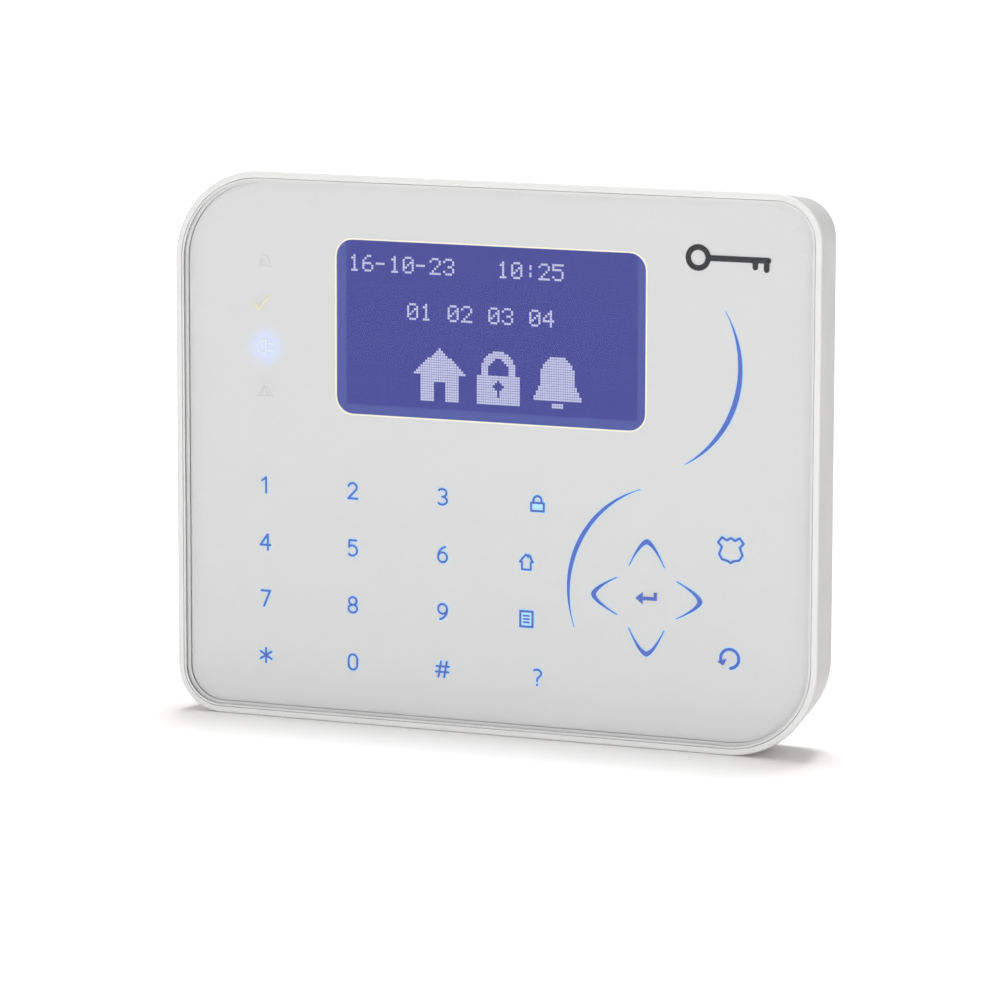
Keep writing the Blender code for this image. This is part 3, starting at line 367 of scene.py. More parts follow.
# %% Clear lens
GLOSS_FACING = 0.028
clear_acrylic, tree, shader, place = start_material("polished_clear_acrylic")
tree.nodes.remove(shader)
slow_haze = add_node(
    tree, "ShaderNodeTexNoise", None, {"Vector": place, "Scale": 1 / (25 * MM), "Detail": 2.0}
)
polish = add_node(
    tree,
    "ShaderNodeMapRange",
    None,
    {"Value": slow_haze.outputs["Fac"], "To Min": 0.10, "To Max": 0.16},
)
through = add_node(tree, "ShaderNodeBsdfTransparent", None, {"Color": (0.985, 0.99, 0.99, 1.0)})
sheen = add_node(tree, "ShaderNodeBsdfGlossy", None, {"Roughness": polish.outputs["Result"]})
slant = add_node(tree, "ShaderNodeLayerWeight", None, {"Blend": 0.5})
steep = add_node(tree, "ShaderNodeMath", {"operation": "POWER"}, {0: slant.outputs["Facing"], 1: 5.0})
amount = add_node(
    tree,
    "ShaderNodeMath",
    {"operation": "MULTIPLY_ADD"},
    {0: steep.outputs[0], 1: 1 - GLOSS_FACING, 2: GLOSS_FACING},
)
side = add_node(tree, "ShaderNodeNewGeometry").outputs["Backfacing"]
outer = add_node(tree, "ShaderNodeMath", {"operation": "SUBTRACT"}, {0: 1.0, 1: side})
gloss = add_node(
    tree, "ShaderNodeMath", {"operation": "MULTIPLY"}, {0: amount.outputs[0], 1: outer.outputs[0]}
)
both = add_node(
    tree, "ShaderNodeMixShader", None, {0: gloss.outputs[0], 1: through.outputs[0], 2: sheen.outputs[0]}
)
tree.links.new(both.outputs[0], tree.nodes["Material Output"].inputs["Surface"])
print("lens mirrors", GLOSS_FACING, "of the studio when it is seen squarely")

# %% [markdown]
# ## Where the print goes
# The front unit is a stack: lens, a sliver of air, printed film, tape, display. The print's places are
# measured from the window of the display and from the lens, which the working model gives.

# %% Stations of the stack
lens_low, lens_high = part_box("touch_lens")
glass_low, glass_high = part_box("lcd_glass")
led_low, led_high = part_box("status_led_1")
LENS_BACK = lens_high[1]
FILM_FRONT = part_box("legend_film")[0][1]
DISPLAY_FRONT = glass_low[1]
WINDOW_X = (glass_low[0] + glass_high[0]) / 2
WINDOW_DROP = 21.5 * MM
WINDOW_Z = glass_high[2] - WINDOW_DROP
WINDOW = (70.8 * MM, 37.5 * MM)
WINDOW_CORNER = 3.7 * MM
STATUS_X = (led_low[0] + led_high[0]) / 2
STATUS_TOP = (led_low[2] + led_high[2]) / 2
print("film at", round(FILM_FRONT * 1000, 2), "lens back at", round(LENS_BACK * 1000, 2))

# %% [markdown]
# ## The printed film
# White ink on clear film gives the keypad its even face. Two of the status lamps behind it are on:
# one shines pale yellow through its tick, the other blue-white, bright enough to bloom in the ink.
# The bloom is painted light: a round falloff about the lamp, mixed into the ink's colour and its glow.

# %% Printed film
STATUS_PITCH = 9.3 * MM
PLUG = (STATUS_X + 0.2 * MM, STATUS_TOP - 2 * STATUS_PITCH + 0.3 * MM)
BLOOM_CORE = 1.2 * MM
BLOOM_RADIUS = 5.4 * MM
white_print_and_painted_bloom, tree, shader, place = start_material("screen_printed_white_film_and_painted_bloom")
centred = add_node(
    tree,
    "ShaderNodeVectorMath",
    {"operation": "DISTANCE"},
    {0: place, 1: (PLUG[0], FILM_FRONT, PLUG[1])},
)
bloom = add_node(
    tree,
    "ShaderNodeMapRange",
    {"interpolation_type": "SMOOTHSTEP"},
    {
        "Value": centred.outputs["Value"],
        "From Min": BLOOM_CORE,
        "From Max": BLOOM_RADIUS,
        "To Min": 1.0,
        "To Max": 0.0,
    },
)
ink_grain = add_node(tree, "ShaderNodeTexNoise", None, {"Vector": place, "Scale": 1 / (0.5 * MM)})
# Painted light: the white ink's colour turns blue-white towards the lit plug lamp.
ink = add_node(
    tree,
    "ShaderNodeMix",
    {"data_type": "RGBA"},
    {0: bloom.outputs["Result"], 6: linear("C5C4C4"), 7: linear("BFC6E0")},
)
tree.links.new(ink.outputs[2], shader.inputs["Base Color"])
# Painted light: the film itself glows round that lamp, though the film is no lamp.
glow = add_node(
    tree, "ShaderNodeMath", {"operation": "MULTIPLY"}, {0: bloom.outputs["Result"], 1: 0.06}
)
tree.links.new(glow.outputs[0], shader.inputs["Emission Strength"])
shader.inputs["Emission Color"].default_value = linear("C8D4FF")
nap = add_node(
    tree,
    "ShaderNodeBump",
    None,
    {"Height": ink_grain.outputs["Fac"], "Distance": 0.002 * MM, "Strength": 0.5},
)
tree.links.new(nap.outputs["Normal"], shader.inputs["Normal"])
shader.inputs["Roughness"].default_value = 0.6
shader.inputs["Specular IOR Level"].default_value = 0.1
print("bloom", BLOOM_RADIUS * 1000, "mm round the lit lamp")

# %% [markdown]
# ## The display's glass
# A blue graphic display is lit from behind. Its picture area is a deep violet blue, and the strip
# beside and below it, where no dots are, lets a little more of the backlight through. So the colour is
# chosen by how far a point lies outside the picture area. The unlit dots show as a faint lattice.

# %% Display glass
DOT = 0.52 * MM
DOTS_WIDE = 128
DOTS_HIGH = 64
lcd_blue, tree, shader, place = start_material("backlit_blue_display")
moved = add_node(
    tree,
    "ShaderNodeVectorMath",
    {"operation": "SUBTRACT"},
    {0: place, 1: (WINDOW_X, 0.0, WINDOW_Z)},
)
lattice_axes = add_node(tree, "ShaderNodeSeparateXYZ", None, {0: moved.outputs[0]})
aside = add_node(tree, "ShaderNodeMath", {"operation": "ABSOLUTE"}, {0: lattice_axes.outputs["X"]})
over_x = add_node(
    tree, "ShaderNodeMath", {"operation": "SUBTRACT"}, {0: aside.outputs[0], 1: DOT * DOTS_WIDE / 2}
)
over_z = add_node(
    tree,
    "ShaderNodeMath",
    {"operation": "MULTIPLY_ADD"},
    {0: lattice_axes.outputs["Z"], 1: -1.0, 2: -DOT * DOTS_HIGH / 2},
)
over = add_node(
    tree, "ShaderNodeMath", {"operation": "MAXIMUM"}, {0: over_x.outputs[0], 1: over_z.outputs[0]}
)
margin = add_node(
    tree,
    "ShaderNodeMapRange",
    {"interpolation_type": "SMOOTHSTEP"},
    {"Value": over.outputs[0], "From Min": -0.2 * MM, "From Max": 0.5 * MM},
)
level, rise = (
    add_node(tree, "ShaderNodeMath", {"operation": "PINGPONG"}, {0: lattice_axes.outputs[axis], 1: DOT / 2})
    for axis in ("X", "Z")
)
nearest = add_node(
    tree, "ShaderNodeMath", {"operation": "MINIMUM"}, {0: level.outputs[0], 1: rise.outputs[0]}
)
gap_edge = {"From Min": 0.02 * MM, "From Max": 0.04 * MM, "To Min": 0.35, "To Max": 0.0}
gaps = add_node(tree, "ShaderNodeMapRange", None, {"Value": nearest.outputs[0], **gap_edge})
field = add_node(
    tree,
    "ShaderNodeMix",
    {"data_type": "RGBA"},
    {0: gaps.outputs["Result"], 6: linear("404396"), 7: linear("4C50A0")},
)
tone = add_node(
    tree,
    "ShaderNodeMix",
    {"data_type": "RGBA"},
    {0: margin.outputs["Result"], 6: field.outputs[2], 7: linear("505AA4")},
)
shader.inputs["Base Color"].default_value = linear("06060C")
tree.links.new(tone.outputs[2], shader.inputs["Emission Color"])
shader.inputs["Emission Strength"].default_value = 1.0
shader.inputs["Roughness"].default_value = 0.3
shader.inputs["Specular IOR Level"].default_value = 0.05
print("picture area", round(DOT * DOTS_WIDE * 1000, 1), "by", round(DOT * DOTS_HIGH * 1000, 1), "mm")

# %% [markdown]
# ## Inks and dots that give light
# The key lights shine through translucent ink, and a lit display dot is brighter than its field. Such a
# surface keeps its own colour and adds a share of glow, so one recipe serves them all. The unlit marks
# and the black print take the same recipe with no glow.


# %% Finishes that give light
def lit(name, colour, other, strength, grain, shade=1.0):
    """A lit ink or dot: two near colours over a grain in mm, and how much is glow or lit by the room."""
    made, tree, shader, place = start_material(name)
    speckle = add_node(tree, "ShaderNodeTexNoise", None, {"Vector": place, "Scale": 1 / (grain * MM)})
    tint = add_node(
        tree,
        "ShaderNodeMix",
        {"data_type": "RGBA"},
        {0: speckle.outputs["Fac"], 6: linear(colour), 7: linear(other)},
    )
    tree.links.new(tint.outputs[2], shader.inputs["Emission Color"])
    shader.inputs["Emission Strength"].default_value = strength
    body = add_node(
        tree,
        "ShaderNodeMix",
        {"data_type": "RGBA", "blend_type": "MULTIPLY"},
        {0: 1.0, 6: tint.outputs[2], 7: (shade, shade, shade, 1.0)},
    )
    tree.links.new(body.outputs[2], shader.inputs["Base Color"])
    shader.inputs["Roughness"].default_value = 0.5
    shader.inputs["Specular IOR Level"].default_value = 0.1
    return made


# Blue ink that the key lights shine through: a clear mid blue with a hint of glow.
legend_ink = lit("translucent_blue_ink", "475DAB", "4E64B0", 0.06, 1.5)
# Painted light that leaks round each blue stroke and tints the white ink sky blue.
legend_halo = lit("sky_blue_light_leak", "9CCBEE", "A6D2F2", 0.08, 1.5)
# Unlit status marks: almost the colour of the face.
quiet_ink = lit("quiet_grey_ink", "C8C8C8", "C7C7C7", 0.0, 2.0)
# The tick, lit pale yellow.
tick_ink = lit("pale_yellow_light", "CECEAA", "D0D0A6", 0.06, 1.0)
# The plug mark, lit nearly white.
plug_ink = lit("white_light", "CBD2D6", "CED5D9", 0.05, 1.0)
# A lit dot of the display: pale violet white.
dot_light = lit("lit_display_dot", "C4C8E8", "CACEEC", 0.95, 2.0, 0.06)
# Printed line round the window: ivory, a little brighter than the face.
ivory_ink = lit("ivory_window_line", "E6E2CF", "E9E5D2", 0.0, 2.0)
# Black print of the plain emblem.
emblem_ink = lit("black_print", "202022", "28282B", 0.0, 1.0)
print("all finishes:", len(bpy.data.materials))

# %% [markdown]
# ## Smooth shells from the working solids
# The working solids are right in size, but they are loose flat triangles with knife edges. A moulded or
# stamped part has small radii that catch the light. So each solid is copied, its triangles are merged
# back into whole faces, and its sharp edges are bevelled by the radius that such a part has. Normals
# weighted by area keep the broad faces even, right up to their rounded edges.


# %% Recipe for a finished copy of a solid
SHARP = math.radians(47)
CORNER = math.radians(38)
NEARLY_FLAT = math.radians(0.6)
WELD = 0.001 * MM
BEVEL_STEPS = 2


def family(node):
    """A node's name without its number, so that equal parts share one setting."""
    return node.rstrip("0123456789").rstrip("_")


def keep(bm, name, finish, body):
    """Writes a bmesh to a piece that rides on a body, smooth but for its sharp edges."""
    mesh = bpy.data.meshes.new(name)
    bm.to_mesh(mesh)
    bm.free()
    mesh.shade_smooth()
    mesh.set_sharp_from_angle(angle=SHARP)
    mesh.materials.clear()
    mesh.materials.append(finish)
    piece = bpy.data.objects.new(name, mesh)
    even_light = piece.modifiers.new("even_light", "WEIGHTED_NORMAL")
    even_light.keep_sharp = True
    even_light.weight = 100
    bpy.context.scene.collection.objects.link(piece)
    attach(piece, body)
    return piece


def corners_of(bm, angle):
    """Edges where two faces meet at more than an angle."""
    return [e for e in bm.edges if len(e.link_faces) == 2 and e.calc_face_angle() > angle]


def round_edges(bm, edges, radius, steps):
    """Bevels edges to a round of a radius in metres."""
    bmesh.ops.bevel(
        bm,
        geom=edges,
        offset=radius,
        offset_type="OFFSET",
        segments=steps,
        profile=0.5,
        affect="EDGES",
        clamp_overlap=True,
        material=-1,
    )


def refined(node, finish, radius, body):
    """A merged, bevelled and smooth copy that stands for a working solid. Radius is in metres."""
    bm = bmesh.new()
    bm.from_mesh(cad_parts[node].data)
    bmesh.ops.remove_doubles(bm, verts=bm.verts, dist=WELD)
    bmesh.ops.dissolve_limit(bm, angle_limit=NEARLY_FLAT, verts=bm.verts, edges=bm.edges)
    if radius > 0:
        round_edges(bm, corners_of(bm, CORNER), radius, BEVEL_STEPS)
    piece = keep(bm, node + "_finished", finish, body)
    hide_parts(node)


print("edges over", round(math.degrees(CORNER)), "degrees are rounded")

# %% [markdown]
# ## Which finish goes where
# This table says which of the finishes above each kind of part takes, by its name without the number,
# and how round its edges are, in millimetres. Every part but the clear lens gets its finished copy here.

# %% Finished copies of all parts
FINISHES = {
    "front_housing": (satin_abs, 0.10),
    "wall_base": (satin_abs, 0.15),
    "legend_film": (white_print_and_painted_bloom, 0.0),
    "lens_tape": (foam, 0.0),
    "light_guide": (guide_acrylic, 0.05),
    "status_baffle": (black_abs, 0.05),
    "status_led": (led_epoxy, 0.0),
    "key_led": (led_epoxy, 0.0),
    "lcd_glass": (lcd_blue, 0.05),
    "lcd_driver_chip": (epoxy, 0.02),
    "lcd_backlight": (backlight_pc, 0.0),
    "lcd_flex": (polyimide, 0.0),
    "lcd_connector": (black_abs, 0.05),
    "lcd_bracket": (zinc_steel, 0.10),
    "bracket_screw": (zinc_steel, 0.05),
    "board_screw": (zinc_steel, 0.06),
    "main_board": (solder_mask, 0.04),
    "processor": (epoxy, 0.0),
    "bus_driver": (epoxy, 0.0),
    "memory_chip": (epoxy, 0.0),
    "touch_controller": (epoxy, 0.0),
    "filter_capacitor": (aluminium, 0.15),
    "regulator_coil": (epoxy, 0.0),
    "sounder": (black_abs, 0.0),
    "terminal_block": (green_polyamide, 0.10),
    "terminal_cage": (brass, 0.04),
    "terminal_screw": (zinc_steel, 0.05),
    "service_header": (black_abs, 0.04),
    "tamper_switch": (black_abs, 0.08),
    "tamper_spring": (spring_wire, 0.0),
    "tamper_plunger": (acetal, 0.0),
}
BODIES = {"wall_base": "wall_base", "tamper_plunger": "tamper_plunger"}
for node in sorted(set(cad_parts) - {"touch_lens"}):
    finish, radius = FINISHES[family(node)]
    refined(node, finish, radius * MM, BODIES.get(node, "front_unit"))
print("finished copies:", len(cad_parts) - 1)

# %% [markdown]
# ## The spring under its plunger
# The coil spring is the one solid that changes its shape when the panel is pressed to the wall. Its
# front end rests on the switch, and its rear end follows the plunger's collar. Here its finished copy
# is only given a mesh of its own.

# %% Spring with a mesh of its own
coil = bpy.data.objects["tamper_spring_finished"]
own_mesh(coil)

# %% [markdown]
# ## Strokes of ink
# Keys on a touch panel are printed as strokes of even width with round ends, like a pen's. A curve with
# a round bevel is such a pen: each point has its own width, so a stroke can also swell and taper. Made
# a mesh and pressed flat, it lies in the sliver between the film and the lens.


# %% Pen
CURVE_WELD = 0.002 * MM


def arc(x, z, wide, high, first, last, steps=14):
    """Points of an elliptical arc, with its angles in degrees."""
    turns = [math.radians(first + (last - first) * i / steps) for i in range(steps + 1)]
    return [(x + wide * math.cos(t), z + high * math.sin(t)) for t in turns]


def legs(*points):
    """Straight strokes from point to point, each with its own round ends, so that corners stay full."""
    return [[a, b] for a, b in zip(points, points[1:])]


def rounded_stroke(points, widths):
    """A stroke whose ends are closed by half circles."""
    line = [(Vector((x, z)), w / 2) for (x, z), w in zip(points, widths)]
    for end in (0, -1):
        tip, half = line[end]
        away = (tip - line[1 if end == 0 else -2][0]).normalized()
        cap = [(tip + away * half * math.sin(t), half * math.cos(t)) for t in (0.5, 1.0, 1.4)]
        line = cap[::-1] + line if end == 0 else line + cap
    return line


def bmesh_of(curve):
    """A curve as an open bmesh, with its doubled points welded."""
    holder = bpy.data.objects.new(curve.name, curve)
    bpy.context.scene.collection.objects.link(holder)
    graph = bpy.context.evaluated_depsgraph_get()
    mesh = bpy.data.meshes.new_from_object(holder.evaluated_get(graph))
    bpy.data.objects.remove(holder, do_unlink=True)
    bm = bmesh.new()
    bm.from_mesh(mesh)
    bpy.data.meshes.remove(mesh)
    bmesh.ops.remove_doubles(bm, verts=bm.verts, dist=CURVE_WELD)
    return bm


def draw(name, strokes, grow, y, squeeze, finish):
    """Draws strokes (points, widths, closed), in mm, as one flat piece at depth y. Grow widens them."""
    pen = bpy.data.curves.new(name + "_pen", "CURVE")
    pen.dimensions = "3D"
    pen.bevel_depth = MM
    pen.bevel_resolution = 2
    pen.use_fill_caps = True
    for points, widths, closed in strokes:
        wider = [w + 2 * grow for w in widths]
        ring = [(Vector(p), w / 2) for p, w in zip(points, wider)]
        line = ring if closed else rounded_stroke(points, wider)
        spline = pen.splines.new("POLY")
        spline.points.add(len(line) - 1)
        for point, (spot, half) in zip(spline.points, line):
            point.co = (spot.x * MM, 0.0, spot.y * MM, 1.0)
            point.radius = half
        spline.use_cyclic_u = closed
    bm = bmesh_of(pen)
    bmesh.ops.transform(bm, matrix=Matrix.Diagonal((1.0, squeeze, 1.0, 1.0)), verts=bm.verts)
    bmesh.ops.translate(bm, verts=bm.verts, vec=(0.0, y, 0.0))
    bmesh.ops.recalc_face_normals(bm, faces=bm.faces)
    keep(bm, name, finish, "front_unit")


def even(paths, width, closed=False):
    """Paths with one width all along."""
    return [(path, [width] * len(path), closed) for path in paths]


def moved_to(strokes, x, z, turn=0.0):
    """Strokes turned by an angle in degrees and moved."""
    c, s = math.cos(math.radians(turn)), math.sin(math.radians(turn))
    return [
        ([(x + (c * a - s * b), z + (s * a + c * b)) for a, b in path], widths, closed)
        for path, widths, closed in strokes
    ]


print("a half circle takes", len(arc(0, 0, 1, 1, 0, 180)), "points")

# %% [markdown]
# ## The digits
# The digits are monoline: one pen width, open shapes, tall ovals. Each is a few arcs and straight
# strokes about its own middle, in millimetres, so they can be read like the steps of drawing it.

# %% Digits
PEN = 0.47
W = 1.03  # half the width of a round digit
H = 1.68  # half the height of a digit
ROUND = {
    "0": [arc(0, 0.5, W, H - 0.5, 0, 180) + arc(0, -0.5, W, H - 0.5, 180, 360)[:-1]],
    "6": [arc(0, -0.62, W, H - 0.62, 0, 360, 24)[:-1]],
    "9": [arc(0, 0.62, W, H - 0.62, 0, 360, 24)[:-1]],
    "8": [arc(0, 0.84, 0.9, 0.84, 0, 360, 24)[:-1], arc(0, -0.84, W, 0.84, 0, 360, 24)[:-1]],
}
OPEN = {
    "1": legs((-0.75, 0.95), (0.2, H), (0.2, -H)),
    "2": [arc(0, 0.72, 0.97, 0.96, 165, -30)] + legs((0.82, 0.22), (-W, -H), (W + 0.08, -H)),
    "3": [arc(-0.1, 0.84, 1.0, 0.84, 140, -90), arc(-0.1, -0.84, 1.12, 0.84, 90, -140)],
    "4": legs((0.55, -H), (0.55, H), (-1.2, -0.68), (1.15, -0.68)),
    "5": legs((0.85, H), (-0.75, H), (-0.85, 0.18)) + [arc(-0.1, -0.56, 1.12, 1.12, 132, -135)],
    "6": [arc(0.9, -0.5, 1.93, 2.16, 100, 178)],
    "7": legs((-W, H), (W, H), (-0.42, -H)),
    "9": [arc(-0.9, 0.5, 1.93, 2.16, -80, -2)],
    "*": [[(0, -1.55), (0, 1.55)], [(-1.3, -0.8), (1.3, 0.8)], [(-1.3, 0.8), (1.3, -0.8)]],
    "#": [
        [(-0.95, -H), (-0.35, H)],
        [(0.4, -H), (1.0, H)],
        [(-1.4, 0.6), (1.5, 0.6)],
        [(-1.55, -0.6), (1.35, -0.6)],
    ],
    "?": [
        arc(-0.05, 0.95, 0.98, 0.8, 130, -50),
        [(0.58, 0.34), (0.05, -0.2), (0.0, -0.72)],
        [(0, -1.6), (0, -1.5)],
    ],
}


def glyph(sign):
    """The strokes of one digit or sign."""
    return even(ROUND.get(sign, []), PEN, True) + even(OPEN.get(sign, []), PEN)


print("signs:", "".join(sorted(set(ROUND) | set(OPEN))))

# %% [markdown]
# ## The key field
# Three columns of digits and a fourth of symbols stand in four rows. The columns keep finger-wide
# steps, as on a telephone. The symbols are a padlock, a house, a list and a question mark.

# %% Keys
COLUMNS = (-53.37, -32.71, -11.69)
ROWS = (-8.74, -21.21, -33.63, -46.15)
SYMBOL_X = 10.2
PADLOCK_SPOT = (SYMBOL_X - 0.05, ROWS[0] - 0.1)
HOUSE_SPOT = (SYMBOL_X - 2.55, ROWS[1] - 0.35)
LIST_SPOT = (SYMBOL_X - 2.5, ROWS[2] - 0.2)
QUESTION_SPOT = (SYMBOL_X, ROWS[3] - 0.2)
keys = []
for z, signs in zip(ROWS, ("123", "456", "789", "*0#")):
    for x, sign in zip(COLUMNS, signs):
        keys += moved_to(glyph(sign), x, z)
keys += moved_to(glyph("?"), *QUESTION_SPOT)
box_sides = [(-1.45, -1.6), (-1.45, 0.15), (1.45, 0.15), (1.45, -1.6)]
padlock = even(legs(*box_sides, box_sides[0]), PEN)
padlock += even([[(-0.93, 0.15)] + arc(0, 0.62, 0.93, 0.98, 180, 0) + [(0.93, 0.15)]], PEN)
roof = legs((0.45, 1.55), (0.95, 1.3), (1.0, 0.85), (1.5, 0.05), (1.0, -0.05), (1.0, -1.6), (-1.0, -1.6))
roof += legs((-1.0, -1.6), (-1.0, -0.05), (-1.5, 0.05), (-0.1, 1.62), (0.45, 1.1), (0.45, 1.55))
house = even(roof, PEN * 0.95)
page = [(-1.4, -1.65), (-1.4, 1.65), (1.4, 1.65), (1.4, -1.65)]
sheet_of_lines = even(legs(*page, page[0]), PEN)
sheet_of_lines += even([[(-0.62, z), (0.62, z)] for z in (0.7, 0.0, -0.7)], PEN * 0.8)
keys += moved_to(padlock, *PADLOCK_SPOT)
keys += moved_to(house, *HOUSE_SPOT)
keys += moved_to(sheet_of_lines, *LIST_SPOT)
print("strokes in the key field:", len(keys))

# %% [markdown]
# ## The round pad and its arcs
# Four arrowheads stand round an enter sign, and two slim crescents embrace them. An arrowhead is a
# stroke on a power curve that is thick at the point and fine at the wings. A crescent is the space
# between two circles, so its middle line and width come from an arc of each.

# %% Round pad, crescents, shield and return arrow
PAD = (35.0, -27.38)
PAD_REACH = 12.0
WING = 3.96
SHIELD = (53.78, -15.9)
RETURN = (53.75, -39.0)


def arrowhead():
    """An upward arrowhead about the pad's middle, thick at its point."""
    shares = [i / 12 for i in range(-12, 13)]
    path = [(WING * s, PAD_REACH - 0.605 * abs(WING * s) ** 1.57) for s in shares]
    widths = [0.2 + 0.95 * (1 - abs(s)) ** 1.35 for s in shares]
    return [(path, widths, False)]


def crescent(outer, inner, steps=28):
    """A stroke that fills the space between two arcs with common ends."""
    pairs = list(zip(arc(*outer, steps), arc(*inner, steps)))
    path = [((a + c) / 2, (b + d) / 2) for (a, b), (c, d) in pairs]
    widths = [max(math.hypot(a - c, b - d), 0.14) for (a, b), (c, d) in pairs]
    return [(path, widths, False)]


pad = []
for turn in (0, 90, 180, 270):
    pad += moved_to(arrowhead(), *PAD, turn=turn)
pad += crescent((33.73, 21.58, 22.28, 22.28, 34.3, -64.0), (30.15, 22.68, 24.89, 24.89, 27.6, -57.7))
pad += crescent((39.46, -26.06, 22.51, 22.51, 105.6, 202.3), (42.46, -27.58, 24.91, 24.91, 111.3, 196.5))
half_shield = [(0, 2.55), (0.9, 2.0), (1.95, 2.6), (2.85, 1.5), (2.0, 0.6)]
half_shield += [(2.6, -1.0), (1.95, -2.05), (0.6, -2.35), (0, -2.75)]
badge = even(legs(*half_shield) + legs(*[(-x, z) for x, z in half_shield]), 0.5)
pad += moved_to(badge, *SHIELD)
pad += moved_to(even([arc(0, 0, 2.02, 2.02, -84, 190, 30)], 0.66), *RETURN)
print("strokes in the pad:", len(pad))

# %% [markdown]
# ## Flat shapes
# Some prints and films aren't strokes but areas: an arrow, a border, the lens itself. They could be cut
# from a sheet with a knife. A flat curve does that: it is filled between its outline and its holes and
# is given the thickness between two depths.


# %% Flat shapes
def flat(name, loops, y_front, y_back, finish):
    """Filled outlines with their holes, in mm, as a thin piece between two depths in metres."""
    sheet = bpy.data.curves.new(name + "_outline", "CURVE")
    sheet.dimensions = "2D"
    sheet.fill_mode = "BOTH"
    sheet.extrude = (y_back - y_front) / 2
    for loop in loops:
        spline = sheet.splines.new("POLY")
        spline.points.add(len(loop) - 1)
        for point, (x, z) in zip(spline.points, loop):
            point.co = (x * MM, z * MM, 0.0, 1.0)
        spline.use_cyclic_u = True
    bm = bmesh_of(sheet)
    upright = Matrix.Translation((0, (y_front + y_back) / 2, 0)) @ Matrix.Rotation(math.radians(90), 4, "X")
    bmesh.ops.transform(bm, matrix=upright, verts=bm.verts)
    bmesh.ops.recalc_face_normals(bm, faces=bm.faces)
    return keep(bm, name, finish, "front_unit")


# %% [markdown]
# ## Printing the keys
# The strokes are drawn twice: once in blue, and once a little wider in sky blue, painted light that
# leaks round them. The closed boxes of the padlock and the list are filled with that painted light too.

# %% Print the keys
INK_Y = FILM_FRONT - 0.14 * MM
HALO_Y = FILM_FRONT - 0.03 * MM
HALO_GROW = 0.16
HALF_INK = 0.05 * MM
HALF_LEAK = 0.02 * MM
draw("key_legends", keys, 0.0, INK_Y, 0.2, legend_ink)
draw("key_legend_halos", keys, HALO_GROW, HALO_Y, 0.05, legend_halo)
draw("pad_legends", pad, 0.0, INK_Y, 0.16, legend_ink)
draw("pad_legend_halos", pad, HALO_GROW, HALO_Y, 0.03, legend_halo)


def shifted(points, x, z):
    """Points moved by x and z."""
    return [(a + x, b + z) for a, b in points]


enter = [(-2.5, -0.12), (-0.85, 1.25), (-0.85, 0.28), (1.61, 0.28), (1.61, 1.28)]
enter += [(2.33, 1.28), (2.33, -0.47), (-0.85, -0.47), (-0.85, -1.4)]
head = [(-2.85, -0.75), (-0.65, 0.0), (-1.45, -1.5)]
for name, outline, spot in (("enter_arrow", enter, PAD), ("return_arrow_head", head, RETURN)):
    flat(name, [shifted(outline, *spot)], INK_Y - HALF_INK, INK_Y + HALF_INK, legend_ink)
# Painted light: the sky-blue leak also fills the closed boxes of the padlock and the list.
fills = [shifted(box_sides, *PADLOCK_SPOT), shifted(page, *LIST_SPOT)]
flat("symbol_painted_light_leak", fills, HALO_Y - HALF_LEAK, HALO_Y + HALF_LEAK, legend_halo)
print("ink lies", round((FILM_FRONT - INK_Y) * 1000, 2), "mm in front of the film")

# %% [markdown]
# ## Status marks and emblem
# Four marks stand over the status lamps. The tick and the plug are lit, and the bell and the warning
# triangle are off, so they are all but invisible. A plain key stands in the top corner.

# %% Status marks and emblem
sx, sz = STATUS_X * 1000, STATUS_TOP * 1000
step = STATUS_PITCH * 1000
tick_path = [(-1.75, -0.1), (-1.15, -0.85), (-0.75, -1.55), (0.35, 0.3), (1.85, 1.65)]
tick_widths = [0.35, 0.6, 0.62, 0.5, 0.35]
tick = [(shifted(tick_path, sx - 0.45, sz - step + 0.45), tick_widths, False)]
draw("status_tick", tick, 0.0, INK_Y, 0.2, tick_ink)
prongs = [[(1.05, 0.75), (2.0, 0.75)], [(1.05, -0.75), (2.0, -0.75)]]
plug = even([[(0.35, -1.65), (0.35, 1.65)]] + prongs, 0.42)
plug += even([arc(0.1, 0, 1.75, 1.35, 90, 270)], 0.36)
draw("status_plug", moved_to(plug, sx, PLUG[1] * 1000), 0.0, INK_Y, 0.2, plug_ink)
bell = even([arc(0, 0.1, 1.0, 1.3, 180, 0) + [(1.5, -1.1)], [(-1.0, 0.1), (-1.5, -1.1)]], 0.4)
bell += even(legs((-1.5, -1.1), (1.5, -1.1)), 0.4)
warning = even(legs((-1.7, -1.3), (0, 1.6), (1.7, -1.3), (-1.7, -1.3)) + legs((0, 0.5), (0, -0.4)), 0.4)
quiet = moved_to(bell, sx, sz) + moved_to(warning, sx, sz - 3 * step)
draw("status_marks_off", quiet, 0.0, INK_Y, 0.2, quiet_ink)
EMBLEM = (52.9, 45.2)
bow = [arc(-6.9, 0, 2.2, 2.2, 0, 360, 32)[:-1]]
bits = [[(-4.5, 0), (8.6, 0)], [(8.2, 0), (8.2, -1.9)], [(5.7, 0), (5.7, -1.5)]]
emblem = even(bow, 1.2, True) + even(bits, 1.25)
draw("key_emblem", moved_to(emblem, *EMBLEM), 0.0, INK_Y, 0.16, emblem_ink)
print("status marks at x", round(sx, 2), "mm")

# %% [markdown]
# ## Lens, border print and window line
# The lens sits in the housing with a hair's breadth of gap and a polished, rounded rim. On its back it
# carries a white border that hides the housing's ledge. A narrow white line under its front edge keeps
# the gap round it thin, and an ivory line on the film frames the display. All of them follow the
# outlines of their neighbours, inset by their own gaps.


# %% Outlines with round corners
def rounded(width, height, radii, centre=(0.0, 0.0), steps=16):
    """Points of a rounded rectangle in mm; radii run top left, top right, bottom right, bottom left."""
    points = []
    for (side, rise, start), radius in zip(((-1, 1, 180), (1, 1, 90), (1, -1, 0), (-1, -1, -90)), radii):
        x = centre[0] + side * (width / 2 - radius)
        z = centre[1] + rise * (height / 2 - radius)
        points += arc(x, z, radius, radius, start, start - 90, steps)
    return points


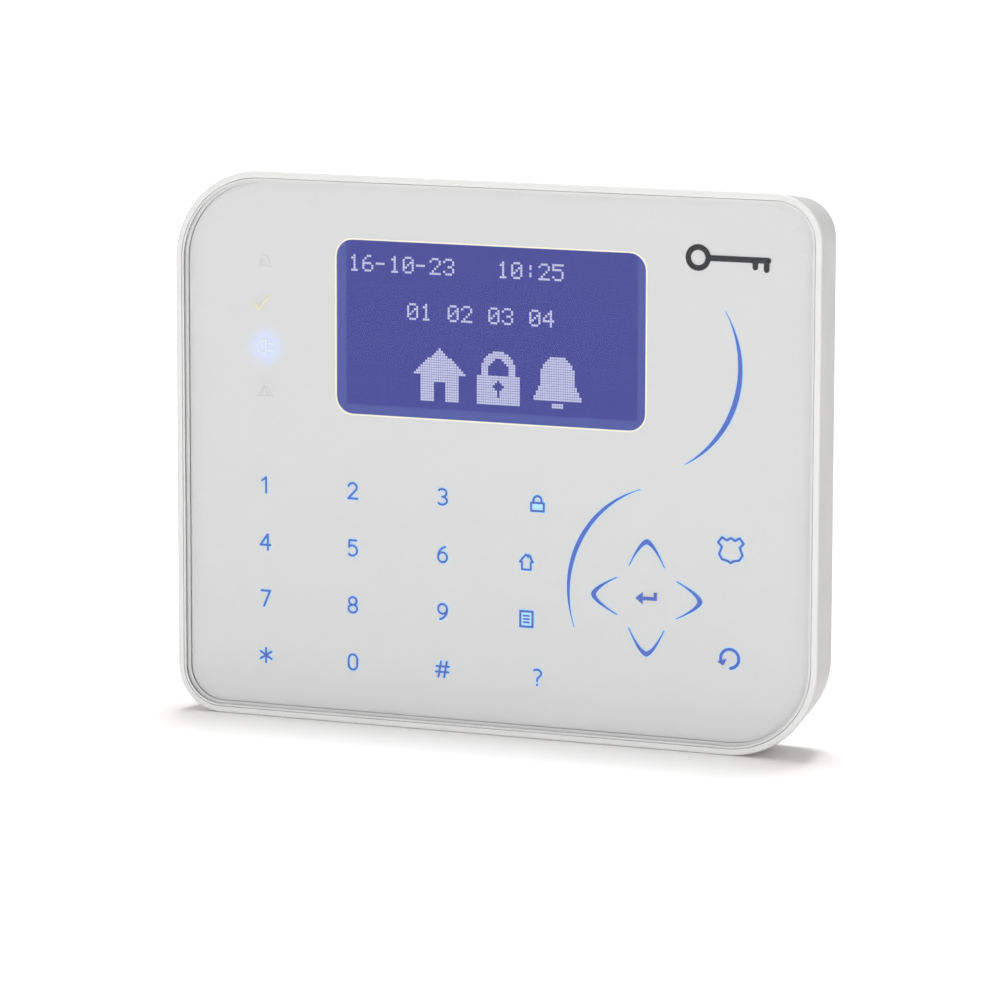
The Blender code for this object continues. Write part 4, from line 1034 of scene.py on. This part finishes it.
LARGE_CORNER = 19.8
SMALL_CORNER = 10.0
PRINT_INSET = 2.525
panel_wide = (cad_high[0] - cad_low[0]) * 1000
panel_high = (cad_high[2] - cad_low[2]) * 1000


def panel(inset):
    """The panel's outline, moved in by inset, in mm."""
    radii = [corner - inset for corner in (LARGE_CORNER, SMALL_CORNER, LARGE_CORNER, SMALL_CORNER)]
    return rounded(panel_wide - 2 * inset, panel_high - 2 * inset, radii)


lens_inset = (lens_low[0] - cad_low[0]) * 1000
LENS_GROW = 0.2
LENS_ROUND = 0.2 * MM
LENS_FRONT = lens_low[1]
lens_outline = [panel(lens_inset - LENS_GROW)]
lens = flat("clear_lens", lens_outline, LENS_FRONT, LENS_BACK, clear_acrylic)
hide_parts("touch_lens")
bm = bmesh.new()
bm.from_mesh(lens.data)
rims = corners_of(bm, math.radians(60))
front_rims = [e for e in rims if e.verts[0].co.y < LENS_FRONT + 0.5 * MM]
round_edges(bm, front_rims, LENS_ROUND, 3)
bm.to_mesh(lens.data)
bm.free()
lens.data.set_sharp_from_angle(angle=SHARP)
BORDER_GAP = 0.04
EDGE_PRINT = 0.3
PRINT_THICK = 0.1 * MM
outside = panel(lens_inset - LENS_GROW + BORDER_GAP)
border_back = LENS_BACK - 0.02 * MM
edge_front = LENS_FRONT + 0.05 * MM
bands = (
    ("lens_border_print", PRINT_INSET - BORDER_GAP, border_back - PRINT_THICK, border_back),
    ("lens_edge_print", lens_inset + EDGE_PRINT, edge_front, edge_front + PRINT_THICK),
)
for name, inner_inset, y_front, y_back in bands:
    flat(name, [outside, panel(inner_inset)], y_front, y_back, white_print_and_painted_bloom)
LINE = 0.3
centre = (WINDOW_X * 1000, WINDOW_Z * 1000)
wide, high, corner = (v * 1000 for v in (*WINDOW, WINDOW_CORNER))
line_loops = [
    rounded(wide + 2 * grow, high + 2 * grow, (corner + grow,) * 4, centre, 10) for grow in (LINE, 0.0)
]
flat("window_line", line_loops, FILM_FRONT - 0.05 * MM, FILM_FRONT - 0.01 * MM, ivory_ink)
print("border", round(PRINT_INSET - lens_inset, 2), "mm wide")

# %% [markdown]
# ## The dots of the display
# A graphic display draws everything with square dots on one lattice. Two lines of digits stand at the
# top, date and time above zone numbers, and below them three large signs: a house, a padlock and a
# bell. A digit is seven rows of five dots, and each large sign is a rule that says which dots it takes.

# %% Dot patterns
DIGITS = {
    "0": ".###. #...# #..## #.#.# ##..# #...# .###.",
    "1": "..#.. .##.. ..#.. ..#.. ..#.. ..#.. .###.",
    "2": ".###. #...# ....# ...#. ..#.. .#... #####",
    "3": ".###. #...# ....# ..##. ....# #...# .###.",
    "4": "...#. ..##. .#.#. #..#. ##### ...#. ...#.",
    "5": "##### #.... ####. ....# ....# #...# .###.",
    "6": "..##. .#... #.... ####. #...# #...# .###.",
    ":": "..... ..#.. ..#.. ..... ..#.. ..#.. .....",
    "-": "..... ..... ..... ####. ..... ..... .....",
    " ": "..... ..... ..... ..... ..... ..... .....",
}


def house_sign(c, r):
    """Roof, walls and a door, about column 0."""
    roof_part = r <= 10 and abs(c) <= r * 1.1 + 0.6
    walls = 10 < r <= 21 and abs(c) <= 8
    door = r >= 14 and abs(c) <= 2
    return (roof_part or walls) and not door


def padlock_sign(c, r):
    """Shackle over a body with a keyhole."""
    reach = math.hypot(c, min(r - 7, 0))
    shackle = r <= 10 and 4.2 <= reach <= 7.4
    body = 10 <= r <= 21 and abs(c) <= 9
    keyhole = math.hypot(c, r - 14) < 2.2 or (14 <= r <= 18 and abs(c) <= 0.6)
    return (shackle or body) and not keyhole


def bell_sign(c, r):
    """Dome, rim and clapper."""
    dome = 1 <= r <= 16 and abs(c) <= 7.6 * math.sqrt(min((r + 0.6) / 7, 1)) + max(r - 12, 0) * 0.5
    rim = 16 < r <= 18 and abs(c) <= 10
    clapper = 19 < r <= 21 and abs(c) <= 2
    return dome or rim or clapper


DIGIT_STEP = 6
SIGN_ROW = 39
lit_dots = []
for text, first_column, first_row in (("16-10-23   10:25", 1, 2), ("01 02 03 04", 27, 21)):
    for number, sign in enumerate(text):
        for r, row in enumerate(DIGITS[sign].split()):
            left = first_column + DIGIT_STEP * number
            lit_dots += [(left + c, first_row + r) for c, on in enumerate(row) if on == "#"]
for rule, middle in ((house_sign, 41), (padlock_sign, 67), (bell_sign, 93)):
    lit_dots += [(middle + c, SIGN_ROW + r) for r in range(22) for c in range(-12, 13) if rule(c, r)]
print("lit dots:", len(lit_dots))

# %% [markdown]
# ## Making the dots
# Each lit dot is a thin square tile just in front of the glass, a little smaller than its cell, so that
# the lattice shows between them. They could be a picture on the glass, but tiles stay crisp from near.

# %% Dots
DOT_SIDE = 0.435 * MM
DOT_THICK = 0.03 * MM
DOT_LIFT = 0.03 * MM
bm = bmesh.new()
for column, row in lit_dots:
    x = WINDOW_X + (column + 0.5 - DOTS_WIDE / 2) * DOT
    z = WINDOW_Z + (DOTS_HIGH / 2 - row - 0.5) * DOT
    place_dot = Matrix.Translation((x, DISPLAY_FRONT - DOT_LIFT, z))
    size = Matrix.Diagonal((DOT_SIDE, DOT_THICK, DOT_SIDE, 1.0))
    bmesh.ops.create_cube(bm, size=1.0, matrix=place_dot @ size)
keep(bm, "display_dots", dot_light, "front_unit")
print("dots at", round(DISPLAY_FRONT * 1000, 2), "mm")

# %% [markdown]
# ## The leads of the chips
# A chip is soldered down by leads that are cut and bent from a thin metal strip: out of the body, down
# to the board, and out again as a foot. So one lead is an end face that is swept in three moves, and a
# loop sets its copies along each side of the chip's own box.

# %% Leads
BOARD_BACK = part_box("main_board")[1][1]
LEAD_WIDE = 0.32 * MM
LEAD_THICK = 0.14 * MM
LEAD_ROOT = 0.05 * MM  # of lead inside the chip's body


def swept(bm, corners, moves):
    """A bar that grows from a first face by one step after another."""
    face = bm.faces.new([bm.verts.new(c) for c in corners])
    for number, move in enumerate(moves):
        grown = bmesh.ops.extrude_face_region(bm, geom=[face], use_keep_orig=number == 0)["geom"]
        face = next(part for part in grown if isinstance(part, bmesh.types.BMFace))
        bmesh.ops.translate(bm, verts=face.verts, vec=move)


def lead_row(bm, node, turns, count, pitch):
    """Bent leads along the sides of a chip, at quarter turns about its middle."""
    low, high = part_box(node)
    middle = Vector([(a + b) / 2 for a, b in zip(low, high)])
    drop = BOARD_BACK + LEAD_THICK - middle.y
    moves = ((0.3 * MM, 0, 0), (0.25 * MM, drop, 0), (0.5 * MM, 0, 0))
    signs = ((-1, -1), (1, -1), (1, 1), (-1, 1))
    for turn in turns:
        reach = (high[0] - low[0]) / 2 if turn % 180 == 0 else (high[2] - low[2]) / 2
        spin = Matrix.Translation((middle.x, 0, middle.z)) @ Matrix.Rotation(math.radians(turn), 4, "Y")
        for number in range(count):
            side = (number - (count - 1) / 2) * pitch
            corners = [
                (reach - LEAD_ROOT, middle.y + a * LEAD_THICK / 2, side + b * LEAD_WIDE / 2)
                for a, b in signs
            ]
            swept(bm, [spin @ Vector(c) for c in corners], [spin.to_3x3() @ Vector(m) for m in moves])


bm = bmesh.new()
lead_row(bm, "processor", (0, 90, 180, 270), 13, 0.8 * MM)
lead_row(bm, "bus_driver", (0, 180), 3, 1.0 * MM)
lead_row(bm, "memory_chip", (0, 180), 4, 1.27 * MM)
lead_row(bm, "touch_controller", (0, 90, 180, 270), 8, 0.65 * MM)
bmesh.ops.recalc_face_normals(bm, faces=bm.faces)
keep(bm, "chip_leads", tin, "front_unit")
print("board back at", round(BOARD_BACK * 1000, 2), "mm")

# %% [markdown]
# ## Small parts on the back of the board
# A real board carries dozens of small parts that its plain model leaves out. Rows of chip resistors
# stand beside the chips, each a tan ceramic brick with tinned ends, and a drawn steel can holds the
# clock crystal. A plated hole, or via, beside each resistor takes its track through the board.


# %% Chip resistors, clock crystal and vias
def slab(bm, x, z, size, lift=0.02):
    """A box on the board's back: its middle in mm, its size (x, y, z) in mm, lifted off the board."""
    y = BOARD_BACK * 1000 + lift + size[1] / 2
    place_box = Matrix.Translation((x * MM, y * MM, z * MM))
    bmesh.ops.create_cube(bm, size=1.0, matrix=place_box @ Matrix.Diagonal((*[s * MM for s in size], 1.0)))


PASSIVE = (1.6, 0.5, 0.8)
END_CAP = 0.28
# Each run of resistors: first place x and z, step in x and z, how many.
runs = (
    (-17.5, -14.0, 0.0, -2.4, 8),
    (17.0, -10.5, 0.0, -2.4, 9),
    (-40.0, -12.0, 0.0, -2.4, 7),
    (-45.5, -12.0, 0.0, -2.4, 6),
    (34.0, -12.0, 0.0, -2.4, 8),
    (-20.0, -47.6, 3.2, 0.0, 13),
)
spots = [(x + dx * i, z + dz * i) for x, z, dx, dz, count in runs for i in range(count)]
bodies = bmesh.new()
ends = bmesh.new()
for x, z in spots:
    slab(bodies, x, z, (PASSIVE[0] - 0.5, PASSIVE[1], PASSIVE[2] - 0.04))
    for side in (-1, 1):
        slab(ends, x + side * (PASSIVE[0] - END_CAP) / 2, z, (END_CAP, PASSIVE[1] + 0.03, PASSIVE[2]))
keep(bodies, "chip_resistors", ceramic, "front_unit")
keep(ends, "chip_resistor_ends", tin, "front_unit")
can = bmesh.new()
slab(can, -28.0, -32.2, (5.0, 1.2, 3.2))
upright_edges = [e for e in can.edges if abs((e.verts[0].co - e.verts[1].co).normalized().y) > 0.9]
round_edges(can, upright_edges, 0.8 * MM, 5)
keep(can, "clock_crystal", zinc_steel, "front_unit")
VIA_RADIUS = 0.3 * MM
VIA_THICK = 0.03 * MM
vias = bmesh.new()
lay = Matrix.Rotation(math.radians(90), 4, "X")
for x, z in spots:
    spot = Matrix.Translation(((x + 1.9) * MM, BOARD_BACK + 0.02 * MM, (z + 0.5) * MM))
    bmesh.ops.create_cone(
        vias,
        cap_ends=True,
        segments=12,
        radius1=VIA_RADIUS,
        radius2=VIA_RADIUS,
        depth=VIA_THICK,
        matrix=spot @ lay,
    )
keep(vias, "board_vias", tin, "front_unit")
print("chip resistors:", len(spots))

# %% [markdown]
# ## White outlines of the parts
# White ink on the lacquer shows an assembler where each part sits. It is a thin frame round the part's
# own box, wider round a chip, whose leads stand out from its body.

# %% Component outlines
MARK = 0.18
ROUND_LEADS = 3.0
ROUND_BODY = 1.2
chips = ("processor", "memory_chip", "bus_driver", "touch_controller")
outlined = {chip: ROUND_LEADS for chip in chips}
outlined.update({part: ROUND_BODY for part in ("terminal_block", "service_header", "regulator_coil")})
loops = []
for node, room in outlined.items():
    low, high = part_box(node)
    x, z = (low[0] + high[0]) * 500, (low[2] + high[2]) * 500
    wide, tall = (high[0] - low[0]) * 1000 + room, (high[2] - low[2]) * 1000 + room
    loops += [rounded(wide, tall, (0.3,) * 4, (x, z), 2)]
    loops += [rounded(wide - 2 * MARK, tall - 2 * MARK, (0.2,) * 4, (x, z), 2)]
flat("component_outlines", loops, BOARD_BACK + 0.01 * MM, BOARD_BACK + 0.03 * MM, board_ink)
print("outlined parts:", len(outlined))
